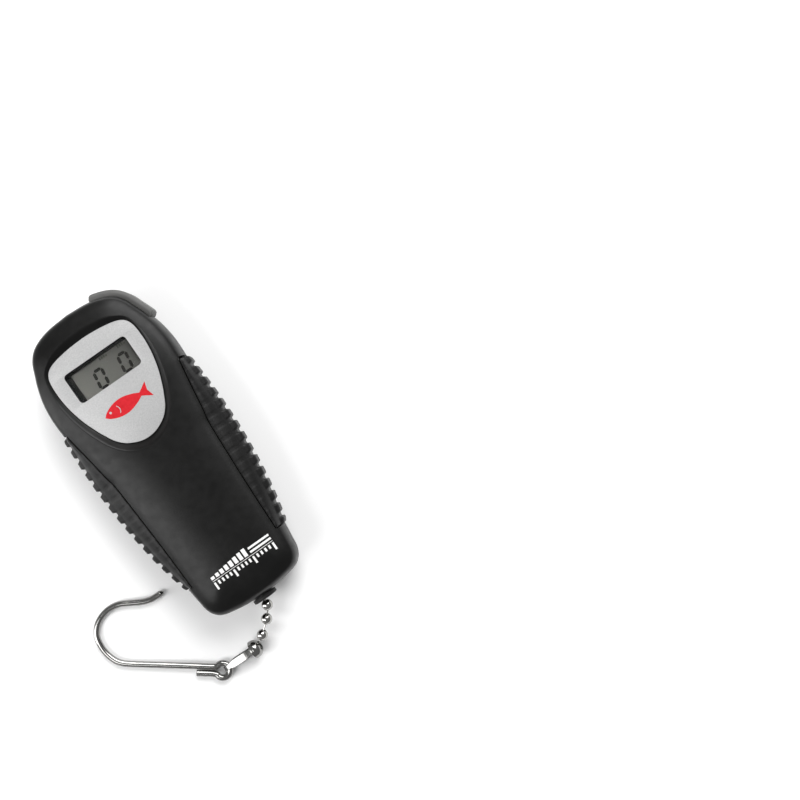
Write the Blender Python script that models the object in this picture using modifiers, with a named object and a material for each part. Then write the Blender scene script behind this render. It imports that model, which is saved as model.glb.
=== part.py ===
"""Pocket digital fish scale with a ball chain and hook, lying face up.

Frame: +Z is out of the display face, +Y points to the top of the body, +X to the reader's right.
The origin is on the flat back, at the middle of the body.
Lengths are in millimetres. They become Blender's metres when a mesh is made.
"""

import math

import bmesh
import bpy
import numpy as np
from mathutils import Matrix, Vector

MM = 0.001

# Body: two shells that meet on a parting plane, with a crowned front and a flat back.
PARTING_Z = 12.0
SEAM_GAP = 0.3
WALL = 1.8
FRONT_EDGE_Z = 20.6
CROWN = 2.9
CROWN_POWER = 2.2
FIT_GAP = 0.3

# Half outlines, from the top centre round the right side. MID is at the parting plane, and
# EDGE is where the side meets the face. The two lists of a pair match point for point.
TOP_MID = [(0, 56.8), (7, 56.3), (12, 55.2), (16, 53.3), (18.8, 50.3), (20.6, 46.2),
           (22.3, 41.8), (23.6, 37.0), (24.3, 32.0), (24.4, 28.0), (24.2, 23.6)]
TOP_EDGE = [(0, 54.8), (7, 54.3), (11.5, 53.2), (14.9, 51.3), (17.3, 48.4), (19.0, 44.8),
            (20.5, 41.0), (21.7, 36.6), (22.4, 32.0), (22.6, 28.0), (22.4, 23.6)]
BOTTOM_MID = [(19.4, -41.9), (18.7, -47.0), (18.1, -51.0), (16.4, -54.0), (13.4, -55.7),
              (6.5, -56.9), (0, -57.2)]
BOTTOM_EDGE = [(16.8, -41.9), (16.7, -46.5), (16.2, -49.8), (14.6, -52.2), (11.8, -53.4),
               (6.0, -54.2), (0, -54.4)]

# Grip stretch of the sides, as half widths against height on the body.
GRIP_TOP_Y = 23.2
GRIP_BOTTOM_Y = -41.5
GRIP_EDGE = [(-41.5, 16.8), (-30, 17.1), (-20, 17.5), (-10, 18.0), (0, 18.6), (5, 19.5),
             (13, 20.7), (23.2, 22.4)]
GRIP_OUTER = [(-41.5, 19.3), (-30, 21.8), (-20, 23.3), (-10, 24.3), (0, 24.8), (10, 24.8),
              (23.2, 24.3)]
GRIP_THICKNESS = 2.3
RIB_COUNT = 15
RIB_PITCH = 4.45
RIB_FIRST_Y = 21.6
RIB_RISE = 1.1
RIB_FOOT = 3.1
RIB_TOP = 2.2

# Share of the way from edge to mid outline, against height above the parting plane.
SIDE_PROFILE = [(1.0, 0.0), (0.93, 3.5), (0.72, 6.0), (0.4, 7.7), (0.0, 8.6)]
POCKET_PROFILE = [(1.0, 0.0), (0.95, 3.0), (0.5, 5.6), (0.1, 7.2), (0.0, 8.6)]
# Rings over the face: share of the edge's half width, and inset of the two ends.
FACE_RINGS = [(0.93, 1.3), (0.82, 3.0), (0.6, 5.5), (0.3, 9.0)]
# Rings over the back: share of the edge's half width, inset of the ends, height.
BACK_RINGS = [(0.96, 0.9, 1.9), (0.91, 1.9, 0.7), (0.85, 3.1, 0.0)]

# Label, its sloped recess, and the display behind it.
LABEL_OUTLINE = [(0, 46.6), (8.2, 46.0), (14.0, 44.5), (16.5, 41.6), (17.1, 36.5),
                 (16.7, 30.5), (15.3, 24.2), (13.3, 18.8), (11.9, 15.8), (10.2, 12.7),
                 (7.8, 10.1), (5.1, 8.5), (2.6, 7.6), (0, 7.3)]
LABEL_SEAT_Z = 20.6
LABEL_THICKNESS = 0.6
RECESS_SLOPE = 0.93
RECESS_TOP_Z = 26.0
SEAT_BOTTOM_Z = 18.4
DISPLAY_CENTRE_Y = 34.2
DISPLAY_SIZE = (24.4, 11.0)
WINDOW_SIZE = (27.0, 13.6)
WINDOW_THICKNESS = 1.0
LCD_SIZE = (28.6, 16.0)
LCD_Z = (16.1, 18.3)
BOARD_Z = (13.6, 14.8)

# Batteries, two AAA cells side by side, and their sliding door.
CELL_RADIUS = 5.2
CELL_LENGTH = 44.5
CELL_X = 5.6
CELL_Z = 7.3
BAY_HALF_WIDTH = 12.2
BAY_Y = (3.0, 52.7)
BAY_WALL = 1.1
BAY_TOP_Z = 10.5
DOOR_HALF_WIDTH = 10.8
DOOR_TONGUE = 0.8
DOOR_STEP_Z = 0.95
DOOR_TOP_Z = 1.7

# Power button, round the upper right corner.
BUTTON_ENDS_Y = (56.1, 40.6)
BUTTON_RISE = 2.2
BUTTON_Z = (7.5, 16.5)
BUTTON_PUSH = Vector((-0.84, -0.54, 0.0)).normalized()
SWITCH_CENTRE = (15.4, 48.1)
SWITCH_SIDE = 3.2
SWITCH_Z = (10.8, 13.4)

# Screws.
HOUSING_SCREWS = [(19.2, 28.0), (-19.2, 28.0), (13.0, -50.0), (-13.0, -50.0)]
BOARD_SCREWS = [(15.3, 12.0), (-15.3, 12.0)]
CELL_SCREWS = [(5.0, -18.2), (-5.0, -18.2)]

# Load cell, an S-shaped alloy block in line with the chain.
LOAD_CELL_Z = (9.0, 15.0)

# Ball chain. Each ball and link has a heading, from -Y towards -X, and a dip below level.
CHAIN_Z = 12.0
BALL_PITCH = 6.1
BALL_RADIUS = 1.88
BALL_WALL = 0.3
BALL_HOLE = 0.78
LINK_RADIUS = 0.28
LINK_HEAD = 0.8
PIVOT_REACH = 0.92
BORE_BALL_Y = -55.5
BALL_DIPS = [16, 32, 12, 22, 8]
LINK_HEADINGS = [17, 44, 52, 64]
CONNECTOR_HEADING = 90

# Connector and hook.
BELL_RADIUS = 3.15
BELL_WALL = 0.3
BELL_DEPTH = 0.87
BELL_RIM = 1.4
STRIP_THICKNESS = 0.45
STRIP_WIDTH = 2.7
STRIP_BIGHT_WIDTH = 1.6
STRIP_REACH = 11.2
WIRE_RADIUS = 1.12
EYE_RADIUS = 2.5
EYE_Z = 1.79
EYE_PINCH_DEGREES = 36
HOOK_SHANK_DIRECTION = Vector((-0.804, 0.595))
HOOK_SHANK_OFFSET = 1.19
HOOK_TAIL_LENGTH = 9.0
# Direction from the eye to the bend, along which the hook leans down onto the table.
HOOK_LEAN = Vector((-0.64, 0.768))
# The bend and the tip, from the end of the shank, relative to the centre of the eye.
HOOK_BEND = [(-26.8, 21.5), (-29.1, 25.3), (-29.8, 29.8), (-29.0, 34.3), (-26.5, 37.5),
             (-23.1, 39.2), (-19.6, 39.6), (-16.2, 38.9), (-12.8, 37.0), (-9.4, 35.1),
             (-6.6, 34.15), (-4.2, 33.95), (-1.4, 33.85)]

SEGMENTS = 12

COLOURS = {
    "black_plastic": ((0.022, 0.022, 0.021), 0.45, 0.0),
    "black_rubber": ((0.018, 0.018, 0.018), 0.7, 0.0),
    "grey_rubber": ((0.13, 0.13, 0.125), 0.5, 0.0),
    "silver_label": ((0.55, 0.55, 0.56), 0.4, 0.1),
    "clear_plastic": ((0.8, 0.85, 0.85), 0.05, 0.0),
    "lcd_glass": ((0.14, 0.145, 0.13), 0.15, 0.0),
    "white_plastic": ((0.75, 0.75, 0.73), 0.5, 0.0),
    "pink_rubber": ((0.6, 0.3, 0.3), 0.6, 0.0),
    "green_board": ((0.02, 0.16, 0.06), 0.5, 0.0),
    "black_epoxy": ((0.01, 0.01, 0.01), 0.3, 0.0),
    "alloy": ((0.75, 0.75, 0.76), 0.35, 1.0),
    "steel": ((0.55, 0.55, 0.55), 0.15, 1.0),
    "brass": ((0.75, 0.5, 0.2), 0.3, 1.0),
    "cell_jacket": ((0.1, 0.25, 0.5), 0.4, 0.0),
    "red_wire": ((0.5, 0.02, 0.02), 0.5, 0.0),
    "black_wire": ((0.02, 0.02, 0.02), 0.5, 0.0),
    "white_sealant": ((0.8, 0.8, 0.78), 0.6, 0.0),
}


# ---------------------------------------------------------------- scene and objects

def clear_scene():
    for obj in list(bpy.data.objects):
        bpy.data.objects.remove(obj, do_unlink=True)


def new_collection(name):
    collection = bpy.data.collections.new(name)
    bpy.context.scene.collection.children.link(collection)
    return collection


def material(name):
    found = bpy.data.materials.get(name)
    if found:
        return found
    colour, roughness, metallic = COLOURS[name]
    made = bpy.data.materials.new(name)
    made.use_nodes = True
    shader = made.node_tree.nodes["Principled BSDF"]
    shader.inputs["Base Color"].default_value = (*colour, 1.0)
    shader.inputs["Roughness"].default_value = roughness
    shader.inputs["Metallic"].default_value = metallic
    return made


def add(name, mesh, finish=None):
    """Puts a mesh in the scene: a part if it has a finish, otherwise a hidden cutter."""
    obj = bpy.data.objects.new(name, mesh)
    if finish:
        PARTS.objects.link(obj)
        mesh.materials.append(material(finish))
        return obj
    CUTTERS.objects.link(obj)
    obj.hide_render = True
    obj.display_type = "WIRE"
    return obj


def mesh_of(name, bm):
    bmesh.ops.recalc_face_normals(bm, faces=bm.faces)
    bmesh.ops.scale(bm, vec=(MM, MM, MM), verts=bm.verts)
    mesh = bpy.data.meshes.new(name)
    bm.to_mesh(mesh)
    bm.free()
    return mesh


def smooth(obj, angle=35):
    obj.data.shade_smooth()
    obj.data.set_sharp_from_angle(angle=math.radians(angle))
    return obj


def cut(obj, cutter, operation="DIFFERENCE"):
    modifier = obj.modifiers.new(operation.lower() + "_" + cutter.name, "BOOLEAN")
    modifier.operation = operation
    modifier.object = cutter
    return obj


def join(obj, other):
    return cut(obj, other, "UNION")


def cut_all(obj, cutters):
    """Takes several cutters, which may overlap, from an object in one step."""
    group = bpy.data.collections.new(obj.name + "_openings")
    CUTTERS.children.link(group)
    for cutter in cutters:
        group.objects.link(cutter)
    modifier = obj.modifiers.new("openings", "BOOLEAN")
    modifier.operation = "DIFFERENCE"
    modifier.operand_type = "COLLECTION"
    modifier.collection = group
    return obj


# ---------------------------------------------------------------- shapes

def box(name, low, high, finish=None):
    bm = bmesh.new()
    bmesh.ops.create_cube(bm, size=1.0)
    size = Vector(high) - Vector(low)
    bmesh.ops.scale(bm, vec=size, verts=bm.verts)
    bmesh.ops.translate(bm, vec=Vector(low) + size / 2, verts=bm.verts)
    return add(name, mesh_of(name, bm), finish)


def add_rod(bm, start, end, radius, segments=SEGMENTS, end_radius=None):
    """Adds a closed cylinder or cone between two points to bm."""
    start, end = Vector(start), Vector(end)
    turn = (end - start).to_track_quat("Z", "Y").to_matrix().to_4x4()
    place = Matrix.Translation((start + end) / 2) @ turn
    bmesh.ops.create_cone(bm, cap_ends=True, segments=segments, radius1=radius,
                          radius2=radius if end_radius is None else end_radius,
                          depth=(end - start).length, matrix=place)


def rod(name, start, end, radius, finish=None, segments=SEGMENTS):
    bm = bmesh.new()
    add_rod(bm, start, end, radius, segments)
    return add(name, mesh_of(name, bm), finish)


def rods(name, ends, radius):
    """Several separate cylinders in one cutter."""
    bm = bmesh.new()
    for start, end in ends:
        add_rod(bm, start, end, radius)
    return add(name, mesh_of(name, bm))


def turned(name, profile, centre, direction, finish, closed=False, segments=SEGMENTS):
    """A profile of (radius, height) points turned about the line through centre."""
    mesh = bpy.data.meshes.new(name)
    points = [(radius * MM, 0.0, height * MM) for radius, height in profile]
    edges = [(i, i + 1) for i in range(len(points) - 1)]
    if closed:
        edges.append((len(points) - 1, 0))
    mesh.from_pydata(points, edges, [])
    obj = add(name, mesh, finish)
    screw = obj.modifiers.new("turn", "SCREW")
    screw.steps = screw.render_steps = segments
    screw.use_merge_vertices = True
    screw.merge_threshold = 0.000001
    obj.rotation_mode = "QUATERNION"
    obj.rotation_quaternion = Vector(direction).to_track_quat("Z", "Y")
    obj.location = Vector(centre) * MM
    return obj


def plate(name, outlines, low_z, high_z, finish=None):
    """A flat outline of thickness high_z - low_z. Outlines after the first are holes."""
    curve = bpy.data.curves.new(name, "CURVE")
    curve.dimensions = "2D"
    curve.fill_mode = "BOTH"
    curve.extrude = (high_z - low_z) / 2 * MM
    for outline in outlines:
        spline = curve.splines.new("POLY")
        spline.points.add(len(outline) - 1)
        for point, (x, y) in zip(spline.points, outline):
            point.co = (x * MM, y * MM, 0.0, 1.0)
        spline.use_cyclic_u = True
    drawn = bpy.data.objects.new(name + "_outline", curve)
    drawn.location.z = (low_z + high_z) / 2 * MM
    CUTTERS.objects.link(drawn)
    mesh = as_mesh(name, drawn)
    return add(name, mesh, finish)


def as_mesh(name, curve_object):
    """The welded mesh of a curve object, in world space. The curve is removed."""
    bpy.context.view_layer.update()
    evaluated = curve_object.evaluated_get(bpy.context.evaluated_depsgraph_get())
    mesh = bpy.data.meshes.new_from_object(evaluated)
    mesh.name = name
    mesh.transform(curve_object.matrix_world)
    bm = bmesh.new()
    bm.from_mesh(mesh)
    bmesh.ops.remove_doubles(bm, verts=bm.verts, dist=0.000001)
    bmesh.ops.recalc_face_normals(bm, faces=bm.faces)
    bm.to_mesh(mesh)
    bm.free()
    mesh.materials.clear()
    bpy.data.objects.remove(curve_object, do_unlink=True)
    return mesh


def tube(name, points, radius, finish, sides_resolution=1):
    curve = bpy.data.curves.new(name, "CURVE")
    curve.dimensions = "3D"
    curve.bevel_depth = radius * MM
    curve.bevel_resolution = sides_resolution
    curve.use_fill_caps = True
    spline = curve.splines.new("POLY")
    spline.points.add(len(points) - 1)
    for point, place in zip(spline.points, points):
        point.co = (*(Vector(place) * MM), 1.0)
    obj = bpy.data.objects.new(name, curve)
    PARTS.objects.link(obj)
    curve.materials.append(material(finish))
    return obj


def bridge(bm, ring, other):
    """Quads between two closed rings of vertices of the same length."""
    count = len(ring)
    for i in range(count):
        bm.faces.new((ring[i], ring[(i + 1) % count], other[(i + 1) % count], other[i]))


def loft(name, rings, caps, finish=None):
    """A surface through closed rings of points, with a cap on the first and last if asked."""
    bm = bmesh.new()
    made = [[bm.verts.new(point) for point in ring] for ring in rings]
    for ring, other in zip(made, made[1:]):
        bridge(bm, ring, other)
    if caps[0]:
        bm.faces.new(made[0])
    if caps[1]:
        bm.faces.new(made[-1])
    return add(name, mesh_of(name, bm), finish)


# ---------------------------------------------------------------- outlines

def smooth_curve(points, per_span):
    """Catmull-Rom curve through 2D or 3D points, per_span steps to a span."""
    points = [np.array(p, float) for p in points]
    ends = [2 * points[0] - points[1], *points, 2 * points[-1] - points[-2]]
    found = []
    for i in range(1, len(ends) - 2):
        a, b, c, d = ends[i - 1:i + 3]
        for step in range(per_span):
            t = step / per_span
            found.append(0.5 * (2 * b + (c - a) * t + (2 * a - 5 * b + 4 * c - d) * t ** 2
                                + (3 * b - a - 3 * c + d) * t ** 3))
    found.append(points[-1])
    return [tuple(p) for p in found]


def read_curve(points, at):
    """The value at one place on a curve through (place, value) points."""
    places, values = zip(*smooth_curve(points, 6))
    return float(np.interp(at, places, values))


def grip_edge(y):
    return read_curve(GRIP_EDGE, y)


def grip_outer(y):
    return read_curve(GRIP_OUTER, y)


def grip_core(y):
    return grip_outer(y) - GRIP_THICKNESS


def mirrored(half):
    """A closed outline from its right half, which runs from the top centre to the bottom."""
    left = [(-x, *rest) for x, *rest in reversed(half) if x > 1e-6]
    return list(half) + left


def offset_outline(outline, distance):
    """A closed outline moved outwards by distance along its own normals."""
    count = len(outline)
    area = sum(outline[i][0] * outline[(i + 1) % count][1]
               - outline[(i + 1) % count][0] * outline[i][1] for i in range(count))
    side = 1 if area > 0 else -1
    moved = []
    for i, here in enumerate(outline):
        before, after = Vector(outline[i - 1]), Vector(outline[(i + 1) % count])
        along = (after - before).normalized()
        outward = Vector((along.y, -along.x)) * side
        moved.append(tuple(Vector(here) + outward * distance))
    return moved


def circle(centre, radius, count=SEGMENTS):
    turn = 2 * math.pi / count
    return [(centre[0] + radius * math.cos(i * turn), centre[1] + radius * math.sin(i * turn))
            for i in range(count)]


def rectangle(centre, size):
    half_x, half_y = size[0] / 2, size[1] / 2
    return [(centre[0] + sx * half_x, centre[1] + sy * half_y)
            for sx, sy in ((-1, -1), (1, -1), (1, 1), (-1, 1))]


def body_stations(for_cavity):
    """Right-hand outline as (mid point, edge point, in the grip pocket), top to bottom.

    The cavity leaves out the ends of the grip pocket, so that its wall passes them smoothly.
    """
    steps = 1 if for_cavity else 2
    top, bottom = (28.0, -45.0) if for_cavity else (0.0, 0.0)
    stations = []
    for mid, edge in zip(smooth_curve(TOP_MID, steps), smooth_curve(TOP_EDGE, steps)):
        if mid[1] > top:
            stations.append((mid, edge, False))
    for y in np.linspace(GRIP_TOP_Y, GRIP_BOTTOM_Y, 5 if for_cavity else 9):
        stations.append(((grip_core(y), y), (grip_edge(y), y), True))
    for mid, edge in zip(smooth_curve(BOTTOM_MID, steps), smooth_curve(BOTTOM_EDGE, steps)):
        if mid[1] < bottom:
            stations.append((mid, edge, False))
    return stations


def inset_outline(half, inset):
    """A closed outline from a right half outline, drawn in by inset."""
    return offset_outline(mirrored([(max(x, 0.0), y) for x, y in half]), -inset)


def side_rings(direction, start_z, inset):
    """Rings from the parting plane to the edge line. direction is 1 up, -1 down."""
    stations = body_stations(inset > 0)
    flatten = 1 - inset / SIDE_PROFILE[-1][1]
    rings = []
    for level in range(len(SIDE_PROFILE)):
        half, rises = [], []
        for mid, edge, in_pocket in stations:
            share, rise = (POCKET_PROFILE if in_pocket else SIDE_PROFILE)[level]
            half.append((edge[0] + (mid[0] - edge[0]) * share,
                         edge[1] + (mid[1] - edge[1]) * share))
            rises.append(rise * flatten)
        heights = [start_z if level == 0 else PARTING_Z + direction * rise
                   for rise in rises + rises[-2:0:-1]]
        outline = inset_outline(half, inset)
        rings.append([(x, y, z) for (x, y), z in zip(outline, heights)])
    return rings


def shrunk_ring(share, ends, z, inset):
    """The edge outline drawn in by inset, narrowed to a share of its width and at its ends."""
    reach = TOP_EDGE[0][1]
    half = [edge for _, edge, _ in body_stations(inset > 0)]
    return [(x * share, y * (1 - ends / reach), z) for x, y in inset_outline(half, inset)]


def face_height(share):
    return FRONT_EDGE_Z + CROWN * (1 - share ** CROWN_POWER)


def front_rings(start_z=PARTING_Z + SEAM_GAP / 2, inset=0.0):
    face = [shrunk_ring(share, ends, face_height(share) - inset, inset)
            for share, ends in FACE_RINGS]
    return side_rings(1, start_z, inset) + face


def back_rings(start_z=PARTING_Z - SEAM_GAP / 2, inset=0.0):
    back = [shrunk_ring(share, ends, z + inset * (1 - z / 8), inset)
            for share, ends, z in BACK_RINGS]
    return side_rings(-1, start_z, inset) + back


def label_outline(grow=0.0):
    half = smooth_curve(LABEL_OUTLINE, 2)
    return offset_outline(mirrored([(max(x, 0.0), y) for x, y in half]), grow)


# ---------------------------------------------------------------- housing

def shell(name, rings, cavity_rings):
    obj = loft(name, rings, (True, True), "black_plastic")
    return cut(obj, loft(name + "_cavity", cavity_rings, (True, True)))


def label_prism(name, low, high):
    """A tapered prism on the label's outline. low and high are (growth, height)."""
    rings = [[(x, y, z) for x, y in label_outline(grow)] for grow, z in (low, high)]
    return loft(name, rings, (True, True))


def button_outline(inner, outer, spread):
    """Band along the upper right corner between two offsets, spread longer at its ends."""
    dense = smooth_curve(TOP_MID, 8)
    top_y, low_y = BUTTON_ENDS_Y[0] + spread * 0.2, BUTTON_ENDS_Y[1] - spread
    path = [Vector(p) for p in dense if low_y <= p[1] <= top_y][::3]
    path[0] += Vector((-spread * 0.6, 0.0))
    outside, inside = [], []
    last = len(path) - 1
    for i, here in enumerate(path):
        along = (path[min(i + 1, last)] - path[max(i - 1, 0)]).normalized()
        outward = Vector((-along.y, along.x))
        rise = outer - (0.9 if i in (0, last) and spread == 0 else 0.0)
        outside.append(tuple(here + outward * rise))
        inside.append(tuple(here + outward * inner))
    return outside + inside[::-1]


def shell_cutters():
    """Cutters that both shells share: the chain's hole and the button's slot."""
    chain_hole = rod("chain_hole", (0, -61, CHAIN_Z), (0, -52, CHAIN_Z), 3.7, segments=20)
    slot = plate("button_slot", [button_outline(-2.9, 4.0, 0.75)],
                 BUTTON_Z[0] - 0.4, BUTTON_Z[1] + 0.4)
    return chain_hole, slot


def front_shell(cutters):
    obj = shell("front_shell", front_rings(), front_rings(PARTING_Z - 1, WALL))
    join(obj, label_prism("label_seat", (2.2, SEAT_BOTTOM_Z), (0.8, 22.6)))
    bosses = [((x, y, PARTING_Z + 0.4), (x, y, 20.2)) for x, y in HOUSING_SCREWS]
    board_bosses = [((x, y, BOARD_Z[1] + 0.1), (x, y, 20.0)) for x, y in BOARD_SCREWS]
    join(obj, rods("front_bosses", bosses, 2.6))
    join(obj, rods("board_bosses", board_bosses, 1.9))
    recess_grow = (RECESS_TOP_Z - LABEL_SEAT_Z) * RECESS_SLOPE
    recess = label_prism("label_recess", (0.15, LABEL_SEAT_Z), (recess_grow, RECESS_TOP_Z))
    centre = (0, DISPLAY_CENTRE_Y)
    around = [size + 2 * FIT_GAP for size in WINDOW_SIZE]
    pocket = plate("window_pocket", [rectangle(centre, around)],
                   LABEL_SEAT_Z - WINDOW_THICKNESS - 0.1, LABEL_SEAT_Z + 1)
    opening = plate("display_opening", [rectangle(centre, DISPLAY_SIZE)], 17, LABEL_SEAT_Z)
    holes = [((x, y, 11), (x, y, 18.4)) for x, y in HOUSING_SCREWS]
    board_holes = [((x, y, 14), (x, y, 18.2)) for x, y in BOARD_SCREWS]
    cut_all(obj, [recess, pocket, opening, rods("front_screw_holes", holes, 1.0),
                  rods("board_screw_holes", board_holes, 0.9), *cutters])
    return smooth(obj)


def battery_bay(name):
    """The four walls round the batteries."""
    outlines = []
    for grow in (BAY_WALL, 0.0):
        side, low, high = BAY_HALF_WIDTH + grow, BAY_Y[0] - grow, BAY_Y[1] + grow
        outlines.append(mirrored([(0, high), (side - 2.8, high), (side, high - 2.8), (side, low),
                                  (0, low)]))
    return plate(name, outlines, 1.3, BAY_TOP_Z)


def door_prism(name, gap):
    """The door's stepped section, run along Y. gap makes it the opening's cutter."""
    narrow = DOOR_HALF_WIDTH + gap
    wide = narrow + DOOR_TONGUE
    step = DOOR_STEP_Z - (0.1 if gap else 0.0)
    top = DOOR_TOP_Z + (0.6 if gap else 0.0)
    section = [(-narrow, -1), (narrow, -1), (narrow, step), (wide, step), (wide, top),
               (-wide, top), (-wide, step), (-narrow, step)]
    low_y = BAY_Y[0] + FIT_GAP - gap
    rings = [[(x, y, z) for x, z in section] for y in (low_y, 60)]
    return loft(name, rings, (True, True))


def rear_shell(cutters):
    obj = shell("rear_shell", back_rings(), back_rings(PARTING_Z + 1, WALL))
    inside = battery_bay("rear_inside")
    bosses = [((x, y, 0.5), (x, y, PARTING_Z - 0.4)) for x, y in HOUSING_SCREWS]
    join(inside, rods("rear_bosses", bosses, 2.6))
    cell_bosses = [((x, y, 0.5), (x, y, LOAD_CELL_Z[0] - 0.1)) for x, y in CELL_SCREWS]
    join(inside, rods("cell_bosses", cell_bosses, 2.8))
    cut(inside, loft("rear_limit", back_rings(PARTING_Z, 1.0), (True, True)), "INTERSECT")
    join(obj, inside)
    through = [((x, y, -1), (x, y, 13)) for x, y in HOUSING_SCREWS]
    heads = [((x, y, -1), (x, y, 3.6)) for x, y in HOUSING_SCREWS]
    blind = [((x, y, 3), (x, y, 10)) for x, y in CELL_SCREWS]
    cut_all(obj, [door_prism("door_opening", FIT_GAP), rods("rear_screw_holes", through, 1.1),
                  rods("head_recesses", heads, 2.0), rods("cell_screw_holes", blind, 1.1),
                  *cutters])
    return smooth(obj)


def battery_door():
    """The part of the back that slides off over the top end."""
    obj = loft("battery_door", back_rings(), (True, True), "black_plastic")
    cut(obj, door_prism("door_section", 0.0), "INTERSECT")
    bm = bmesh.new()
    for i in range(5):
        middle = Matrix.Translation((0, 10 + 1.8 * i, 0))
        flat = Matrix.Diagonal((12, 0.8, 0.8, 1))
        bmesh.ops.create_cube(bm, size=1.0, matrix=middle @ flat)
    cut(obj, add("thumb_grooves", mesh_of("thumb_grooves", bm)))
    return smooth(obj)


def grip_section(y, side, rise):
    """Closed C-shaped section of a grip at one height on the body, as points."""
    edge, core, outer = grip_edge(y), grip_core(y), grip_outer(y)
    span = outer - edge
    inner_half = [(edge + (core - edge) * share + 0.3, height + 0.2)
                  for share, height in ((0.12, 7.1), (0.5, 5.6), (0.95, 3.0))]
    outer_half = [(edge + 0.75, 8.3), (edge + 0.3 * span + 0.4, 7.5), (edge + 0.72 * span, 5.6),
                  (outer - 0.1, 3.9), (outer + rise, 2.6)]
    front = inner_half[::-1] + outer_half
    section = front + [(x, -z) for x, z in reversed(front)]
    return [(side * x, y, PARTING_Z + z) for x, z in section]


def side_grip(name, side):
    """Ribbed rubber strip in a side pocket. side is 1 for the right."""
    top, bottom = GRIP_TOP_Y - 0.35, GRIP_BOTTOM_Y + 0.35
    sections = [grip_section(top, side, 0.0)]
    for i in range(RIB_COUNT):
        middle = RIB_FIRST_Y - i * RIB_PITCH
        for step, rise in ((RIB_FOOT / 2, 0.0), (RIB_TOP / 2, RIB_RISE),
                           (-RIB_TOP / 2, RIB_RISE), (-RIB_FOOT / 2, 0.0)):
            if bottom < middle + step < top:
                sections.append(grip_section(middle + step, side, rise))
    sections.append(grip_section(bottom, side, 0.0))
    return smooth(loft(name, sections, (True, True), "black_rubber"), 50)


def label_and_window():
    opening = rectangle((0, DISPLAY_CENTRE_Y), DISPLAY_SIZE)
    low = LABEL_SEAT_Z + 0.1
    plate("label_plate", [label_outline(-0.1), opening], low, low + LABEL_THICKNESS,
          "silver_label")
    plate("display_window", [rectangle((0, DISPLAY_CENTRE_Y), WINDOW_SIZE)],
          LABEL_SEAT_Z - WINDOW_THICKNESS, LABEL_SEAT_Z, "clear_plastic")


def screw(name, place, head_z, tip_z, head_radius, shaft_radius, head_height, finish="steel"):
    """Pan-head screw along Z with a cross recess. The head is on the side away from tip_z."""
    along = 1 if tip_z > head_z else -1
    under = head_z + along * head_height
    bm = bmesh.new()
    add_rod(bm, (*place, under), (*place, tip_z), shaft_radius, 10, shaft_radius * 0.6)
    shaft = add(name + "_shaft", mesh_of(name + "_shaft", bm))
    obj = rod(name, (*place, head_z), (*place, under + along * 0.2), head_radius, finish)
    join(obj, shaft)
    slot = Vector((head_radius * 1.2, head_radius * 0.25, 0.7))
    for turn in (0, 1):
        half = slot if turn == 0 else Vector((slot.y, slot.x, slot.z))
        centre = Vector((*place, head_z))
        cut(obj, box(f"{name}_slot_{turn}", centre - half / 2, centre + half / 2))
    return smooth(obj)


def screws():
    for i, place in enumerate(HOUSING_SCREWS, 1):
        screw(f"housing_screw_{i}", place, 2.0, 17.8, 1.7, 0.8, 1.3)
    for i, place in enumerate(BOARD_SCREWS, 1):
        screw(f"board_screw_{i}", place, BOARD_Z[0] - 1.3, 17.6, 1.4, 0.7, 1.1)
    for i, place in enumerate(CELL_SCREWS, 1):
        screw(f"load_cell_screw_{i}", place, LOAD_CELL_Z[1] + 1.7, 4.0, 2.1, 0.9, 1.4)


# ---------------------------------------------------------------- button and electronics

def power_button():
    obj = plate("power_button", [button_outline(-0.8, BUTTON_RISE, 0.0)], *BUTTON_Z,
                "grey_rubber")
    rounding = obj.modifiers.new("rounding", "BEVEL")
    rounding.width = 0.7 * MM
    rounding.segments = 2
    rounding.limit_method = "ANGLE"
    rounding.angle_limit = math.radians(40)
    contact = Vector((*SWITCH_CENTRE, CHAIN_Z)) - BUTTON_PUSH * (SWITCH_SIDE / 2 + 0.9)
    stem = rod("button_stem", contact, contact - BUTTON_PUSH * 2.0, 1.5)
    join(obj, stem)
    return smooth(obj)


def power_switch():
    """Side-push switch under the board, and the plunger that the button carries."""
    middle = Vector((*SWITCH_CENTRE, CHAIN_Z))
    bm = bmesh.new()
    turn = BUTTON_PUSH.to_track_quat("X", "Z").to_matrix().to_4x4()
    height = SWITCH_Z[1] - SWITCH_Z[0]
    size = Matrix.Diagonal((SWITCH_SIDE, SWITCH_SIDE, height, 1))
    centre = Matrix.Translation((*SWITCH_CENTRE, sum(SWITCH_Z) / 2))
    bmesh.ops.create_cube(bm, size=1.0, matrix=centre @ turn @ size)
    body = add("power_switch", mesh_of("power_switch", bm), "black_epoxy")
    face = middle - BUTTON_PUSH * (SWITCH_SIDE / 2)
    cut(body, rod("plunger_hole", face - BUTTON_PUSH, face + BUTTON_PUSH * 1.6, 0.75))
    rod("switch_plunger", face - BUTTON_PUSH * 0.85, face + BUTTON_PUSH * 0.5, 0.6, "brass")


def circuit_board():
    half = [(0, 51.5), (13, 51.5), (17, 47), (17, 34), (16.1, 32), (16.1, 24), (17.5, 20),
            (17.5, 8), (0, 8)]
    holes = [circle(place, 1.0, 10) for place in BOARD_SCREWS]
    plate("circuit_board", [mirrored(half), *holes], *BOARD_Z, "green_board")
    dome = [(0, 1.3), (2.2, 1.1), (3.6, 0.5), (3.9, 0.0), (0, 0.0)]
    turned("controller_chip", dome, (0, 15, BOARD_Z[1] + 0.1), (0, 0, 1), "black_epoxy")


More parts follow.
